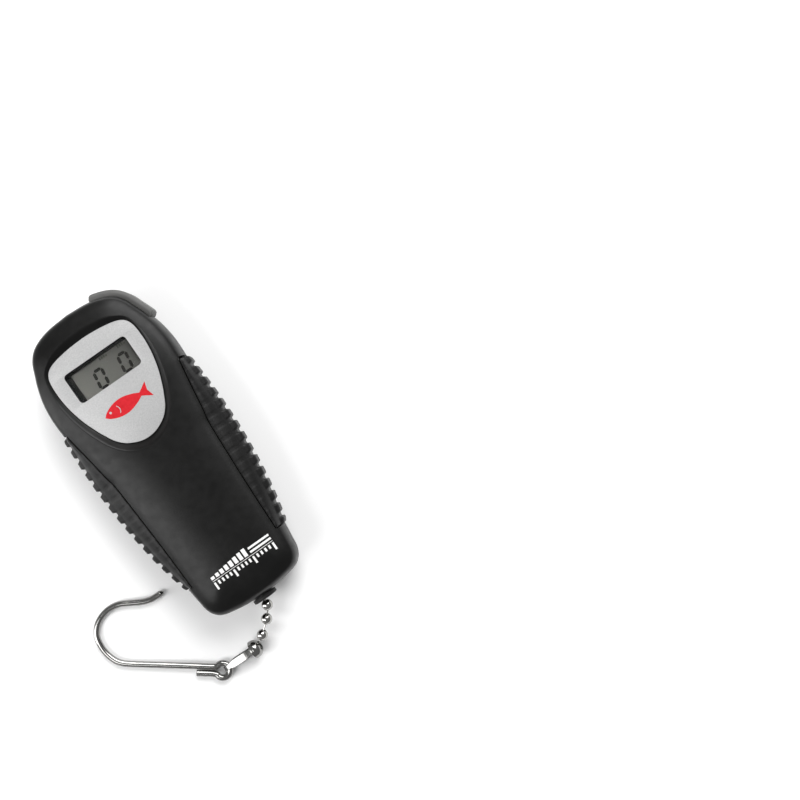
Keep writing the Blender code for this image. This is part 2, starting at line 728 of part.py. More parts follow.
def display():
    centre = (0, DISPLAY_CENTRE_Y)
    plate("lcd_panel", [rectangle(centre, LCD_SIZE)], *LCD_Z, "lcd_glass")
    around = [size + 2 * FIT_GAP for size in LCD_SIZE]
    frame = [size + 2.4 for size in around]
    plate("lcd_frame", [rectangle(centre, frame), rectangle(centre, around)],
          BOARD_Z[1] + 0.1, LCD_Z[1], "white_plastic")
    strip_centre = (0, DISPLAY_CENTRE_Y - LCD_SIZE[1] / 2 + 1.2)
    plate("contact_strip", [rectangle(strip_centre, (24, 1.8))],
          BOARD_Z[1] + 0.05, LCD_Z[0] - 0.05, "pink_rubber")


def battery(name, x, low_y, towards):
    """AAA cell along Y. towards is the end that has the raised positive button."""
    nub = 1.0
    length = CELL_LENGTH - nub
    profile = [(0, CELL_LENGTH), (1.8, CELL_LENGTH), (1.8, length), (CELL_RADIUS - 0.5, length),
               (CELL_RADIUS, length - 0.5), (CELL_RADIUS, 0.5), (CELL_RADIUS - 0.5, 0), (0, 0)]
    base_y = low_y if towards > 0 else low_y + CELL_LENGTH
    return smooth(turned(name, profile, (x, base_y, CELL_Z), (0, towards, 0), "cell_jacket",
                         segments=20))


def coil(turns, start_y, end_y, wide, narrow, x):
    """Points of a tapered coil spring along Y."""
    steps = int(turns * 10)
    points = []
    for i in range(steps + 1):
        share = i / steps
        angle = 2 * math.pi * turns * share
        radius = wide + (narrow - wide) * share
        points.append((x + radius * math.cos(angle), start_y + (end_y - start_y) * share,
                       CELL_Z + radius * math.sin(angle)))
    return points


def batteries():
    battery("battery_1", -CELL_X, 3.75, -1)
    battery("battery_2", CELL_X, 7.4, 1)
    box("battery_link_contact", (-10.5, 3.15, 3.0), (10.5, 3.55, 10.4), "steel")
    box("negative_contact", (-9.3, 52.15, 6.1), (-0.6, 52.55, 10.4), "steel")
    box("positive_contact", (0.6, 52.15, 6.1), (9.3, 52.55, 10.4), "steel")
    tube("battery_spring_1", coil(2.5, 51.7, 48.7, 3.4, 2.0, -CELL_X), 0.35, "steel")
    tube("battery_spring_2", coil(2.5, 4.0, 7.0, 3.4, 2.0, CELL_X), 0.35, "steel")


def leads():
    for name, side, finish in (("battery_lead_red", 1, "red_wire"),
                               ("battery_lead_black", -1, "black_wire")):
        route = [(6.0, 52.3, 10.9), (6.0, 52.3, 11.8), (6.6, 51.6, 12.7), (7.0, 50.6, 12.9)]
        tube(name, [(side * x, y, z) for x, y, z in smooth_curve(route, 2)], 0.5, finish)
    route = [(0, -26, 17.1), (0, -20, 17.0), (0.6, -10, 15.6), (0.3, 0, 14.4), (0, 7.3, 14.2)]
    tube("load_cell_lead", smooth_curve(route, 3), 0.6, "white_plastic")


# ---------------------------------------------------------------- load path

def load_cell():
    """S-shaped block: two slots from opposite sides and a double hole in the web between."""
    outline = [(-8, -15), (8, -15), (8, -21.5), (-3, -21.5), (-3, -23), (8, -23), (8, -42),
               (-8, -42), (-8, -35.5), (3, -35.5), (3, -34), (-8, -34)]
    web_y = -28.5
    angles = [math.radians(a) for a in range(-135, 136, 30)]
    right = [(3 + 2 * math.cos(a), web_y + 2 * math.sin(a)) for a in angles]
    left = [(-x, 2 * web_y - y) for x, y in right]
    holes = [circle(place, 1.3, 12) for place in CELL_SCREWS]
    obj = plate("load_cell", [outline, right + left, *holes], *LOAD_CELL_Z, "alloy")
    cut(obj, rod("stud_hole", (0, -43, CHAIN_Z), (0, -37, CHAIN_Z), 1.6))
    pad = [(0, 1.2), (3.6, 1.0), (4.6, 0.4), (4.8, 0.0), (0, 0.0)]
    turned("gauge_sealant", pad, (0, web_y, LOAD_CELL_Z[1] + 0.1), (0, 0, 1), "white_sealant")


def chain_anchor(ball_centre):
    """Cup that holds the chain's last ball, with a stud into the load cell."""
    profile = [(0, 11.0), (1.45, 11.0), (1.45, 4.2), (3.1, 4.2), (3.1, -2.9), (0.9, -2.9),
               (0.9, -2.3), (2.15, -1.6), (2.15, 2.2), (0, 2.2)]
    obj = turned("chain_anchor", profile, ball_centre, (0, 1, 0), "steel", segments=16)
    x, y, z = ball_centre
    cut(obj, box("ball_slot", (x - 2.15, y - 1.5, z), (x + 2.15, y + 2.1, z + 5)))
    cut(obj, box("link_slot", (x - 0.6, y - 4, z), (x + 0.6, y, z + 5)))
    return smooth(obj)


def chain_grommet():
    """Rubber bush in the chain's hole, with a flange on each side of the wall."""
    profile = [(2.3, 4.5), (4.2, 4.5), (4.2, 3.7), (3.4, 3.7), (3.4, 1.1), (4.35, 1.1),
               (4.35, 0.1), (4.0, -0.3), (2.9, -0.3), (2.3, 0.2)]
    return smooth(turned("chain_grommet", profile, (0, -58.5, CHAIN_Z), (0, 1, 0),
                         "black_rubber", closed=True, segments=20))


def heading_vector(heading, dip):
    """Unit vector at heading degrees from -Y towards -X, and dip degrees below level."""
    turn, down = math.radians(heading), math.radians(dip)
    return Vector((-math.sin(turn) * math.cos(down), -math.cos(turn) * math.cos(down),
                   -math.sin(down)))


def arc(radius, start, end, count):
    """(radius from the axis, height) points on a circle, by angle from the axis."""
    angles = [start + (end - start) * i / count for i in range(count + 1)]
    return [(radius * math.sin(a), radius * math.cos(a)) for a in angles]


def chain_ball(name, centre, direction):
    """Hollow ball with a hole at each end."""
    inner = BALL_RADIUS - BALL_WALL
    outer_edge, inner_edge = math.asin(BALL_HOLE / BALL_RADIUS), math.asin(BALL_HOLE / inner)
    profile = arc(BALL_RADIUS, outer_edge, math.pi - outer_edge, 6)
    profile += arc(inner, math.pi - inner_edge, inner_edge, 3)
    return smooth(turned(name, profile, centre, direction, "steel", closed=True), 60)


def chain_link(name, start, direction):
    """Wire between two balls, with a round head at each end. start is the first head."""
    length = BALL_PITCH - 2 * PIVOT_REACH
    joint_angle = math.asin(LINK_RADIUS / LINK_HEAD)
    cap = arc(LINK_HEAD, 0, math.pi - joint_angle, 4)
    profile = [(radius, height + length) for radius, height in cap]
    profile += [(radius, -height) for radius, height in reversed(cap)]
    profile[0], profile[-1] = (0.0, profile[0][1]), (0.0, profile[-1][1])
    return smooth(turned(name, profile, start, direction, "steel", segments=8), 60)


def chain():
    """Balls and links from the anchor to the connector. Returns the last ball's centre."""
    straight = Vector((0, -1, 0))
    anchor_ball = Vector((0, BORE_BALL_Y + BALL_PITCH, CHAIN_Z))
    chain_anchor(anchor_ball)
    chain_ball("chain_ball_0", anchor_ball, straight)
    chain_link("chain_link_0", anchor_ball + straight * PIVOT_REACH, straight)
    centre = Vector((0, BORE_BALL_Y, CHAIN_Z))
    heading = 0
    link_length = BALL_PITCH - 2 * PIVOT_REACH
    for i, dip in enumerate(BALL_DIPS):
        direction = heading_vector(heading, dip)
        chain_ball(f"chain_ball_{i + 1}", centre, direction)
        if i == len(LINK_HEADINGS):
            return centre
        outlet = centre + direction * PIVOT_REACH
        along = heading_vector(LINK_HEADINGS[i], dip)
        chain_link(f"chain_link_{i + 1}", outlet, along)
        inlet = outlet + along * link_length
        heading = LINK_HEADINGS[i]
        centre = inlet + heading_vector(heading, BALL_DIPS[i + 1]) * PIVOT_REACH


def connector_frame(ball_centre, eye_wire):
    """Axes of the connector: along from the hook to the ball, across and up."""
    along = (ball_centre - eye_wire).normalized()
    across = Vector((0, 0, 1)).cross(along).normalized()
    return along, across, along.cross(across)


def connector_bell(ball_centre, eye_wire):
    """Cup over the last ball, open towards the hook."""
    along, _, _ = connector_frame(ball_centre, eye_wire)
    outer = [(radius, height * BELL_DEPTH) for radius, height in
             arc(BELL_RADIUS, math.asin(1.7 / BELL_RADIUS), math.pi / 2, 4)]
    inner = BELL_RADIUS - BELL_WALL
    inside = [(radius, height * BELL_DEPTH) for radius, height in
              arc(inner, math.pi / 2, math.asin(1.7 / inner), 4)]
    rim = [(BELL_RADIUS + 0.1, -BELL_RIM), (inner + 0.1, -BELL_RIM)]
    profile = outer + rim + inside
    return smooth(turned("connector_bell", profile, ball_centre, along, "steel", closed=True,
                         segments=18), 50)


def strip_path():
    """Middle line of the folded strip as (along, up, width), from the upper lip round."""
    half = [(1.5, 1.68, 1.2), (1.1, 1.96, 1.4), (0, 2.25, 2.2), (-0.9, 2.22, 2.3),
            (-4.6, 1.53, STRIP_WIDTH), (-8.8, 1.53, STRIP_WIDTH),
            (-STRIP_REACH + 0.6, 1.53, STRIP_BIGHT_WIDTH)]
    round_end = [(-STRIP_REACH - 1.82 * math.cos(a), 1.53 * math.sin(a), STRIP_BIGHT_WIDTH)
                 for a in (math.radians(d) for d in (60, 30, 0))]
    upper = half + round_end
    return upper + [(x, -z, width) for x, z, width in reversed(upper[:-1])]


def connector_strip(ball_centre, eye_wire):
    """Folded strip that grips the last ball and passes round the wire of the hook's eye."""
    along, across, up = connector_frame(ball_centre, eye_wire)
    path = strip_path()
    last = len(path) - 1
    sections = []
    for i, (x, z, width) in enumerate(path):
        before, after = path[max(i - 1, 0)], path[min(i + 1, last)]
        run = Vector((after[0] - before[0], after[1] - before[1])).normalized()
        thick = Vector((-run.y, run.x)) * STRIP_THICKNESS / 2
        corners = [(thick, 0.5), (thick, -0.5), (-thick, -0.5), (-thick, 0.5)]
        sections.append([ball_centre + along * (x + t.x) + up * (z + t.y) + across * (width * w)
                         for t, w in corners])
    return smooth(loft("connector_strip", sections, (True, True), "steel"))


def hook_route(eye):
    """Middle line of the hook's wire, flat in its own plane, from the tail to the tip."""
    shank = HOOK_SHANK_DIRECTION.normalized()
    side = Vector((shank.y, -shank.x))
    if side.y < 0:
        side.negate()
    neck = 3.6
    points = [shank * s - side * HOOK_SHANK_OFFSET for s in (HOOK_TAIL_LENGTH, 6.0, neck)]
    start = math.atan2(shank.y, shank.x)
    pinch = math.radians(EYE_PINCH_DEGREES)
    turn = 2 * math.pi - 2 * pinch
    steps = 16
    for i in range(steps + 1):
        angle = start + pinch + turn * i / steps
        points.append(Vector((math.cos(angle), math.sin(angle))) * EYE_RADIUS)
    points += [shank * s + side * HOOK_SHANK_OFFSET for s in (neck, 8.0, 14.0, 20.0, 26.0)]
    points += [Vector(p) for p in smooth_curve([points[-1], *HOOK_BEND], 2)[1:]]
    return points


def fish_hook(eye):
    """Bent wire hook. It leans down from its eye, so that its bend lies on the table."""
    flat = hook_route(eye)
    far = max(point.length for point in flat)
    drop = (EYE_Z - WIRE_RADIUS - 0.02) / far
    lean = HOOK_LEAN * drop
    places = [Vector((*point, 0.0)) + eye - Vector((0, 0, point.dot(lean))) for point in flat]
    return tube("fish_hook", places, WIRE_RADIUS, "steel", 2)


def load_path():
    last_ball = chain()
    along = heading_vector(CONNECTOR_HEADING, 0)
    wire = last_ball + along * STRIP_REACH
    wire.z = EYE_Z
    connector_bell(last_ball, wire)
    connector_strip(last_ball, wire)
    eye = wire + along * EYE_RADIUS
    fish_hook(eye)


clear_scene()
PARTS = new_collection("digital_fish_scale")
CUTTERS = new_collection("cutters")
SHARED = shell_cutters()
front_shell(SHARED)
rear_shell(SHARED)
battery_door()
side_grip("side_grip_right", 1)
side_grip("side_grip_left", -1)
label_and_window()
power_button()
power_switch()
circuit_board()
display()
batteries()
leads()
load_cell()
chain_grommet()
load_path()
screws()
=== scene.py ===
"""Studio picture of a pocket digital fish scale with a ball chain and hook, lying face up.

Lengths are in millimetres, and become metres when a mesh is made. Lights and materials are in
metres. +Z is out of the display face and +Y points to the top of the body.
"""

import math

import bmesh
import bpy
import numpy as np
from mathutils import Matrix, Vector


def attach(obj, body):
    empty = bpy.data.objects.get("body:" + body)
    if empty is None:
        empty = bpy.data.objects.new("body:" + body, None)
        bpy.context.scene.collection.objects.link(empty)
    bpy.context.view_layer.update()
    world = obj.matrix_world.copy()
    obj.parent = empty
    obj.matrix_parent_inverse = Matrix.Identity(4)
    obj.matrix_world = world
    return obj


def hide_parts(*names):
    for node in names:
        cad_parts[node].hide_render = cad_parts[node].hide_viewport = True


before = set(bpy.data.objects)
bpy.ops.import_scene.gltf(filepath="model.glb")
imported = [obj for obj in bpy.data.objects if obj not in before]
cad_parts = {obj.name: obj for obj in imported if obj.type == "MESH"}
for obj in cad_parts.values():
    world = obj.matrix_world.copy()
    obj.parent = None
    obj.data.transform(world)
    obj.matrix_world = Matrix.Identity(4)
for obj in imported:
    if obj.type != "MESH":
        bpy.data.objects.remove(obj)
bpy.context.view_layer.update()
MM = 0.001

# -------- sizes of the body

PARTING_Z = 12.0
SEAM_GAP = 0.3
WALL = 1.8
FRONT_SKIN = 1.2
FACE_EDGE_Z = 20.6
EDGE_DROP = 0.3
EDGE_REACH = 2.5
CROWN = 2.6
CROWN_REACH = 16.5
FACE_CENTRE = (0.0, 27.0)

# Half outlines, from the top centre round the right side, at mid height and at the face.
TOP_MID = [(0, 56.8), (7, 56.3), (12, 55.2), (16, 53.3), (18.8, 50.3), (20.6, 46.2),
           (22.3, 41.8), (23.6, 37.0), (24.3, 32.0), (24.4, 28.0), (24.2, 23.6)]
TOP_EDGE = [(0, 54.8), (7, 54.3), (11.5, 53.2), (14.9, 51.3), (17.3, 48.4), (19.0, 44.8),
            (20.5, 41.0), (21.7, 36.6), (22.4, 32.0), (22.6, 28.0), (22.4, 23.6)]
BOTTOM_MID = [(19.4, -41.6), (18.7, -47.0), (18.1, -51.0), (16.4, -54.0), (13.4, -55.7),
              (6.5, -56.9), (0, -57.2)]
BOTTOM_EDGE = [(16.8, -41.6), (16.7, -46.5), (16.2, -49.8), (14.6, -52.2), (11.8, -53.4),
               (6.0, -54.2), (0, -54.4)]
GRIP_TOP_Y = 23.2
GRIP_BOTTOM_Y = -41.5
GRIP_EDGE = [(-41.5, 16.8), (-30, 17.1), (-20, 17.5), (-10, 18.0), (0, 18.6), (5, 19.5),
             (13, 20.7), (23.2, 22.4)]
GRIP_OUTER = [(-41.5, 19.3), (-30, 21.8), (-20, 23.3), (-10, 24.3), (0, 24.8), (10, 24.8),
              (23.2, 24.3)]
GRIP_THICKNESS = 2.3
GRIP_TOP_GAP = 0.35
GRIP_BOTTOM_GAP = 0.1
RIB_COUNT = 15
RIB_PITCH = 4.45
RIB_FIRST_Y = 21.6
RIB_RISE = 1.05
RIB_TOP_Z = 4.9
CREASE = 0.04

# Share of the way from face edge to mid outline, against height above the parting plane.
SIDE_PROFILE = [(1.0, 0.0), (0.93, 3.5), (0.73, 6.0), (0.41, 7.55), (0.0, 8.3)]
POCKET_PROFILE = [(1.0, 0.0), (0.95, 3.0), (0.5, 5.6), (0.1, 7.1), (0.0, 8.3)]
BACK_RINGS = [(0.96, 0.9, 1.9), (0.91, 1.9, 0.7), (0.85, 3.1, 0.0)]

LABEL_OUTLINE = [(0, 46.6), (8.2, 46.0), (14.0, 44.5), (16.5, 41.6), (17.1, 36.5),
                 (16.7, 30.5), (15.3, 24.2), (13.3, 18.8), (11.9, 15.8), (10.2, 12.7),
                 (7.8, 10.1), (5.1, 8.5), (2.6, 7.6), (0, 7.3)]
RECESS_RIM = [(0, 49.5), (6.5, 49.0), (12.2, 47.2), (16.9, 43.4), (18.5, 36.0), (18.3, 29.5),
              (16.8, 22.3), (14.7, 16.4), (11.3, 10.4), (6.5, 6.0), (0, 4.3)]
RECESS_WALL = [(0.06, 0.01), (0.14, 0.05), (0.24, 0.13), (0.36, 0.26), (0.5, 0.43), (0.66, 0.63),
               (0.82, 0.83), (1.0, 1.0)]
LABEL_SEAT_Z = 20.6
LABEL_TOP_Z = 20.92
DISPLAY_CENTRE = (0.0, 34.2)
DISPLAY_SIZE = (24.4, 11.0)
DISPLAY_CORNER = 1.4
WELL_WALL = 0.45
WELL_TOP_Z = 20.62
PANE_Z = (20.2, 20.5)
# Opening of a black strip at display level, wide only at the left and top: partly the display's
# dark border, partly painted shadow of the well's walls.
MARGIN_AND_SHADOW_CENTRE = (0.95, 33.65)
MARGIN_AND_SHADOW_SIZE = (22.6, 10.1)
LCD_SIZE = (28.6, 16.0)
LCD_Z = (16.1, 18.3)

PRINT_LIFT = 0.04

HOUSING_SCREWS = [(19.2, 28.0), (-19.2, 28.0), (13.0, -50.0), (-13.0, -50.0)]
CELL_SCREWS = [(5.0, -18.2), (-5.0, -18.2)]
POST_RADIUS = 2.6
CELL_POST_RADIUS = 2.8
CELL_POST_TOP_Z = 8.9
SCREW_HOLE_RADIUS = 1.1
SCREW_HEAD_RADIUS = 2.0
SCREW_HEAD_Z = 3.6
CHAIN_HOLE_RADIUS = 3.7
BAY_HALF_WIDTH = 12.2
BAY_Y = (3.0, 52.7)
BAY_WALL = 1.1
BAY_TOP_Z = 10.5
DOOR_HALF_WIDTH = 10.8
DOOR_TONGUE = 0.8
DOOR_STEP_Z = 0.95
DOOR_TOP_Z = 1.7
DOOR_GAP = 0.3

BUTTON_ENDS_Y = (56.1, 40.6)
BUTTON_RISE = 2.0
BUTTON_Z = (7.5, 16.5)
BUTTON_DEPTH = 0.8
BUTTON_CORNER = (1.3, 1.0)

# -------- sizes of chain and hook

CHAIN_Z = 12.0
BALL_PITCH = 6.1
BALL_RADIUS = 1.93
BALL_WALL = 0.3
BALL_HOLE = 0.78
LINK_RADIUS = 0.3
LINK_HEAD = 0.8
PIVOT_REACH = 0.92
BORE_BALL_Y = -55.5
BALL_DIPS = [16, 32, 12, 22, 8]
LINK_HEADINGS = [17, 44, 52, 64]
BELL_RADIUS = 3.15
BELL_WALL = 0.3
BELL_HOLE = 1.7
BELL_DEPTH = 0.8
BELL_RIM = 0.95
STRIP_THICKNESS = 0.45
STRIP_WIDTH = 2.7
STRIP_BIGHT_WIDTH = 1.6
STRIP_REACH = 11.2
STRIP_HALF_GAP = 1.53
STRIP_BIGHT_REACH = 1.82
WIRE_RADIUS = 1.12
EYE_RADIUS = 2.5
EYE_Z = 1.79
EYE_PINCH_DEGREES = 36
HOOK_SHANK_DIRECTION = Vector((-0.804, 0.595))
HOOK_SHANK_OFFSET = 1.19
HOOK_TAIL_LENGTH = 9.0
HOOK_BEND = [(-26.8, 21.5), (-29.1, 25.3), (-29.8, 29.8), (-29.0, 34.3), (-26.5, 37.5),
             (-23.1, 39.2), (-19.6, 39.6), (-16.2, 38.9), (-12.8, 37.0), (-9.4, 35.1),
             (-6.6, 34.15), (-4.2, 33.95), (-1.4, 33.85)]
HOOK_LEAN = Vector((-0.64, 0.768))

# -------- camera

CAMERA_PLACE = (74.75, -29.9, 480.0)
CAMERA_TURN_DEGREES = -34.8
CAMERA_LENS = 62.7

# -------- light

# Name, place, target and size in metres, and power in watts.
LIGHTS = [("left_card", (-0.5, 0.12, 0.27), (0, 0, 0.01), (0.22, 0.5), 2.05),
          ("main_soft", (0.68, 0.6, 0.72), (0.05, 0, 0), (1.0, 1.0), 20),
          ("high_card", (-0.46, -0.06, 0.66), (-0.02, -0.03, 0), (0.36, 0.36), 1.95)]
WORLD_STRENGTH = 0.27


# -------- materials

def new_material(name, colour, roughness, metallic=0.0):
    made = bpy.data.materials.new(name)
    made.use_nodes = True
    shader = made.node_tree.nodes["Principled BSDF"]
    shader.inputs["Base Color"].default_value = (*colour, 1.0)
    shader.inputs["Roughness"].default_value = roughness
    shader.inputs["Metallic"].default_value = metallic
    return made, made.node_tree.nodes, made.node_tree.links, shader


def noise(nodes, links, scale, detail=3.0, stretch=(1, 1, 1)):
    """Noise on the object's own coordinates. scale is in features per metre."""
    place = nodes.new("ShaderNodeTexCoord")
    mapping = nodes.new("ShaderNodeMapping")
    mapping.inputs["Scale"].default_value = stretch
    texture = nodes.new("ShaderNodeTexNoise")
    texture.inputs["Scale"].default_value = scale
    texture.inputs["Detail"].default_value = detail
    links.new(place.outputs["Object"], mapping.inputs["Vector"])
    links.new(mapping.outputs["Vector"], texture.inputs["Vector"])
    return texture.outputs["Fac"]


def ranged(nodes, links, value, low, high):
    """A 0.3 to 0.7 noise value spread between low and high."""
    spread = nodes.new("ShaderNodeMapRange")
    for end, amount in (("From Min", 0.3), ("From Max", 0.7), ("To Min", low), ("To Max", high)):
        spread.inputs[end].default_value = amount
    links.new(value, spread.inputs["Value"])
    return spread.outputs["Result"]


def vary_gloss(nodes, links, value, shader, low, high):
    """Roughness that drifts between two amounts with a noise value."""
    links.new(ranged(nodes, links, value, low, high), shader.inputs["Roughness"])


def tint(nodes, links, value, shader, low, high):
    """Base colour that drifts between two colours with a noise value."""
    mix = nodes.new("ShaderNodeMix")
    mix.data_type = "RGBA"
    mix.inputs["A"].default_value = (*low, 1.0)
    mix.inputs["B"].default_value = (*high, 1.0)
    links.new(value, mix.inputs["Factor"])
    links.new(mix.outputs["Result"], shader.inputs["Base Color"])


def bump(nodes, links, shader, layers):
    """Bump from (height, depth in metres) layers, the first lowest."""
    below = None
    for height, depth in layers:
        node = nodes.new("ShaderNodeBump")
        node.inputs["Distance"].default_value = depth
        node.inputs["Strength"].default_value = 1.0
        links.new(height, node.inputs["Height"])
        if below:
            links.new(below, node.inputs["Normal"])
        below = node.outputs["Normal"]
    links.new(below, shader.inputs["Normal"])


def moulded(name, dark, light, roughness, grain=2600, depth=0.00002, metallic=0.0,
            shine=0.28):
    """Moulded plastic or rubber: fine spark-eroded grain, faint patches in colour and gloss."""
    made, nodes, links, shader = new_material(name, dark, roughness, metallic)
    patches = noise(nodes, links, 90, 4)
    fine = noise(nodes, links, grain, 2)
    tint(nodes, links, ranged(nodes, links, patches, 0.0, 1.0), shader, dark, light)
    gloss = noise(nodes, links, 400, 5)
    vary_gloss(nodes, links, gloss, shader, roughness - 0.05, roughness + 0.06)
    bump(nodes, links, shader, [(patches, depth * 1.5), (fine, depth)])
    shader.inputs["Specular IOR Level"].default_value = shine
    return made


def polished_steel(name, colour=(0.3, 0.298, 0.29), roughness=0.12):
    """Bright wire or plated steel with fine scuffs."""
    made, nodes, links, shader = new_material(name, colour, roughness, 1.0)
    scuffs = noise(nodes, links, 700, 6, (1, 1, 4))
    waves = noise(nodes, links, 160, 2)
    vary_gloss(nodes, links, scuffs, shader, roughness - 0.04, roughness + 0.1)
    bump(nodes, links, shader, [(waves, 0.000006), (scuffs, 0.000003)])
    return made


def label_silver():
    """Silver-coloured plate with a fine sparkle."""
    made, nodes, links, shader = new_material("silver_label", (0.5, 0.5, 0.5), 0.42, 0.25)
    sparkle = noise(nodes, links, 2400, 2)
    drift = noise(nodes, links, 60, 2)
    tint(nodes, links, ranged(nodes, links, sparkle, 0.0, 1.0), shader,
         (0.36, 0.36, 0.363), (0.445, 0.445, 0.443))
    vary_gloss(nodes, links, drift, shader, 0.38, 0.48)
    bump(nodes, links, shader, [(sparkle, 0.000008)])
    return made


def clear_pane():
    made, nodes, links, shader = new_material("clear_pane", (1.0, 1.0, 1.0), 0.03)
    shader.inputs["Transmission Weight"].default_value = 1.0
    shader.inputs["IOR"].default_value = 1.2
    haze = noise(nodes, links, 500, 4)
    vary_gloss(nodes, links, haze, shader, 0.01, 0.05)
    return made


def liquid_crystal():
    """Grey reflective display with painted light: lighter towards its left, darker towards its
    right.
    """
    made, nodes, links, shader = new_material("liquid_crystal", (0.14, 0.14, 0.125), 0.5)
    place = nodes.new("ShaderNodeTexCoord")
    split = nodes.new("ShaderNodeSeparateXYZ")
    links.new(place.outputs["Object"], split.inputs["Vector"])
    # Painted light: the display's colour runs from lighter at its left to darker at its right, for
    # the light falling from the left.
    across = nodes.new("ShaderNodeMapRange")
    across.inputs["From Min"].default_value = -0.013
    across.inputs["From Max"].default_value = 0.013
    links.new(split.outputs["X"], across.inputs["Value"])
    tint(nodes, links, across.outputs["Result"], shader, (0.155, 0.155, 0.138),
         (0.058, 0.058, 0.052))
    cells = noise(nodes, links, 1500, 2)
    bump(nodes, links, shader, [(cells, 0.000003)])
    return made


def printed(name, dark, light, roughness=0.5):
    """Screen-printed ink with a slightly uneven coat."""
    made, nodes, links, shader = new_material(name, dark, roughness)
    coat = noise(nodes, links, 900, 4)
    tint(nodes, links, ranged(nodes, links, coat, 0.0, 1.0), shader, dark, light)
    vary_gloss(nodes, links, coat, shader, roughness - 0.08, roughness + 0.08)
    shader.inputs["Specular IOR Level"].default_value = 0.2
    bump(nodes, links, shader, [(coat, 0.000004)])
    return made


def floor_white():
    made, nodes, links, shader = new_material("floor_white", (0.93, 0.93, 0.93), 0.9)
    shader.inputs["Specular IOR Level"].default_value = 0.1
    return made


BLACK_PLASTIC = moulded("black_plastic", (0.004, 0.004, 0.0039), (0.006, 0.006, 0.0058), 0.36,
                        shine=0.2)
BLACK_RUBBER = moulded("black_rubber", (0.004, 0.004, 0.0041), (0.006, 0.006, 0.0058), 0.42,
                       1800, 0.00003, shine=0.2)
BUSH_RUBBER = moulded("bush_rubber", (0.01, 0.01, 0.01), (0.014, 0.014, 0.014), 0.5)
GREY_RUBBER = moulded("grey_rubber", (0.1, 0.1, 0.097), (0.12, 0.12, 0.117), 0.5,
                      shine=0.15)
# Black for the well's walls and for the strip at the display that is partly painted shadow.
WELL_AND_SHADOW_BLACK = moulded("well_and_shadow_black", (0.006, 0.006, 0.006), (0.008, 0.008, 0.008), 0.55)
SILVER_LABEL = label_silver()
CLEAR_PANE = clear_pane()
LIQUID_CRYSTAL = liquid_crystal()
SEGMENT_INK = printed("segment_ink", (0.012, 0.0115, 0.01), (0.018, 0.0175, 0.0155))
FAINT_INK = printed("faint_ink", (0.05, 0.05, 0.044), (0.06, 0.06, 0.053))
RED_INK = printed("red_ink", (0.44, 0.007, 0.013), (0.52, 0.011, 0.02))
WHITE_INK = printed("white_ink", (0.7, 0.7, 0.69), (0.8, 0.8, 0.79))
STEEL = polished_steel("polished_steel")
CHAIN_STEEL = polished_steel("chain_steel", (0.42, 0.415, 0.4), 0.08)
PLAIN_STEEL = polished_steel("plain_steel", (0.5, 0.5, 0.5), 0.28)
BRASS = polished_steel("brass", (0.72, 0.5, 0.2), 0.25)
ALLOY = polished_steel("alloy", (0.7, 0.7, 0.71), 0.35)
BOARD_GREEN = moulded("board_green", (0.012, 0.1, 0.04), (0.018, 0.14, 0.055), 0.35, 1200)
EPOXY = moulded("epoxy", (0.008, 0.008, 0.008), (0.012, 0.012, 0.012), 0.2)
WHITE_PLASTIC = moulded("white_plastic", (0.62, 0.62, 0.6), (0.7, 0.7, 0.68), 0.45)
PINK_RUBBER = moulded("pink_rubber", (0.5, 0.24, 0.24), (0.58, 0.3, 0.3), 0.6)
CELL_BLUE = moulded("cell_blue", (0.03, 0.1, 0.3), (0.04, 0.13, 0.36), 0.3, 600, 0.000005, 0.4)
RED_LEAD = moulded("red_lead", (0.45, 0.01, 0.01), (0.55, 0.02, 0.02), 0.4)
BLACK_LEAD = moulded("black_lead", (0.012, 0.012, 0.012), (0.02, 0.02, 0.02), 0.4)
SEALANT = moulded("sealant", (0.6, 0.6, 0.57), (0.7, 0.7, 0.67), 0.5, 500, 0.00008)

CAD_FINISHES = {
    PLAIN_STEEL: [f"housing_screw_{i}" for i in (1, 2, 3, 4)]
                 + [f"{part}_{i}" for part in ("board_screw", "load_cell_screw", "battery_spring")
                    for i in (1, 2)]
                 + ["battery_link_contact", "negative_contact", "positive_contact",
                    "chain_anchor"],
    ALLOY: ["load_cell"],
    BRASS: ["switch_plunger"],
    BOARD_GREEN: ["circuit_board"],
    EPOXY: ["controller_chip", "power_switch"],
    WHITE_PLASTIC: ["lcd_frame", "load_cell_lead"],
    PINK_RUBBER: ["contact_strip"],
    CELL_BLUE: ["battery_1", "battery_2"],
    RED_LEAD: ["battery_lead_red"],
    BLACK_LEAD: ["battery_lead_black"],
    SEALANT: ["gauge_sealant"],
}


def finish_cad_nodes():
    for finish, names in CAD_FINISHES.items():
        for name in names:
            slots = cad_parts[name].material_slots
            for slot in slots:
                slot.material = finish
            if not slots:
                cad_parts[name].data.materials.append(finish)


# -------- objects and shapes

def add(name, mesh, finish, body=None, stands_for=()):
    obj = bpy.data.objects.new(name, mesh)
    bpy.context.scene.collection.objects.link(obj)
    if finish:
        mesh.materials.append(finish)
    if body:
        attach(obj, body)
    if stands_for:
        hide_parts(*stands_for)
    return obj


def mesh_of(name, bm):
    bmesh.ops.recalc_face_normals(bm, faces=bm.faces)
    bmesh.ops.scale(bm, vec=(MM, MM, MM), verts=bm.verts)
    mesh = bpy.data.meshes.new(name)
    bm.to_mesh(mesh)
    bm.free()
    return mesh


def smooth(obj, angle):
    obj.data.shade_smooth()
    obj.data.set_sharp_from_angle(angle=math.radians(angle))


def loft(bm, rings, capped=True):
    """Faces through rings of points, closed round each ring, with end caps if asked."""
    made = [[bm.verts.new(point) for point in ring] for ring in rings]
    for ring, other in zip(made, made[1:]):
        for i in range(len(ring)):
            j = (i + 1) % len(ring)
            bm.faces.new((ring[i], ring[j], other[j], other[i]))
    if capped:
        bm.faces.new(made[0])
        bm.faces.new(made[-1])


def loft_mesh(name, rings, capped=True):
    bm = bmesh.new()
    loft(bm, rings, capped)
    return mesh_of(name, bm)


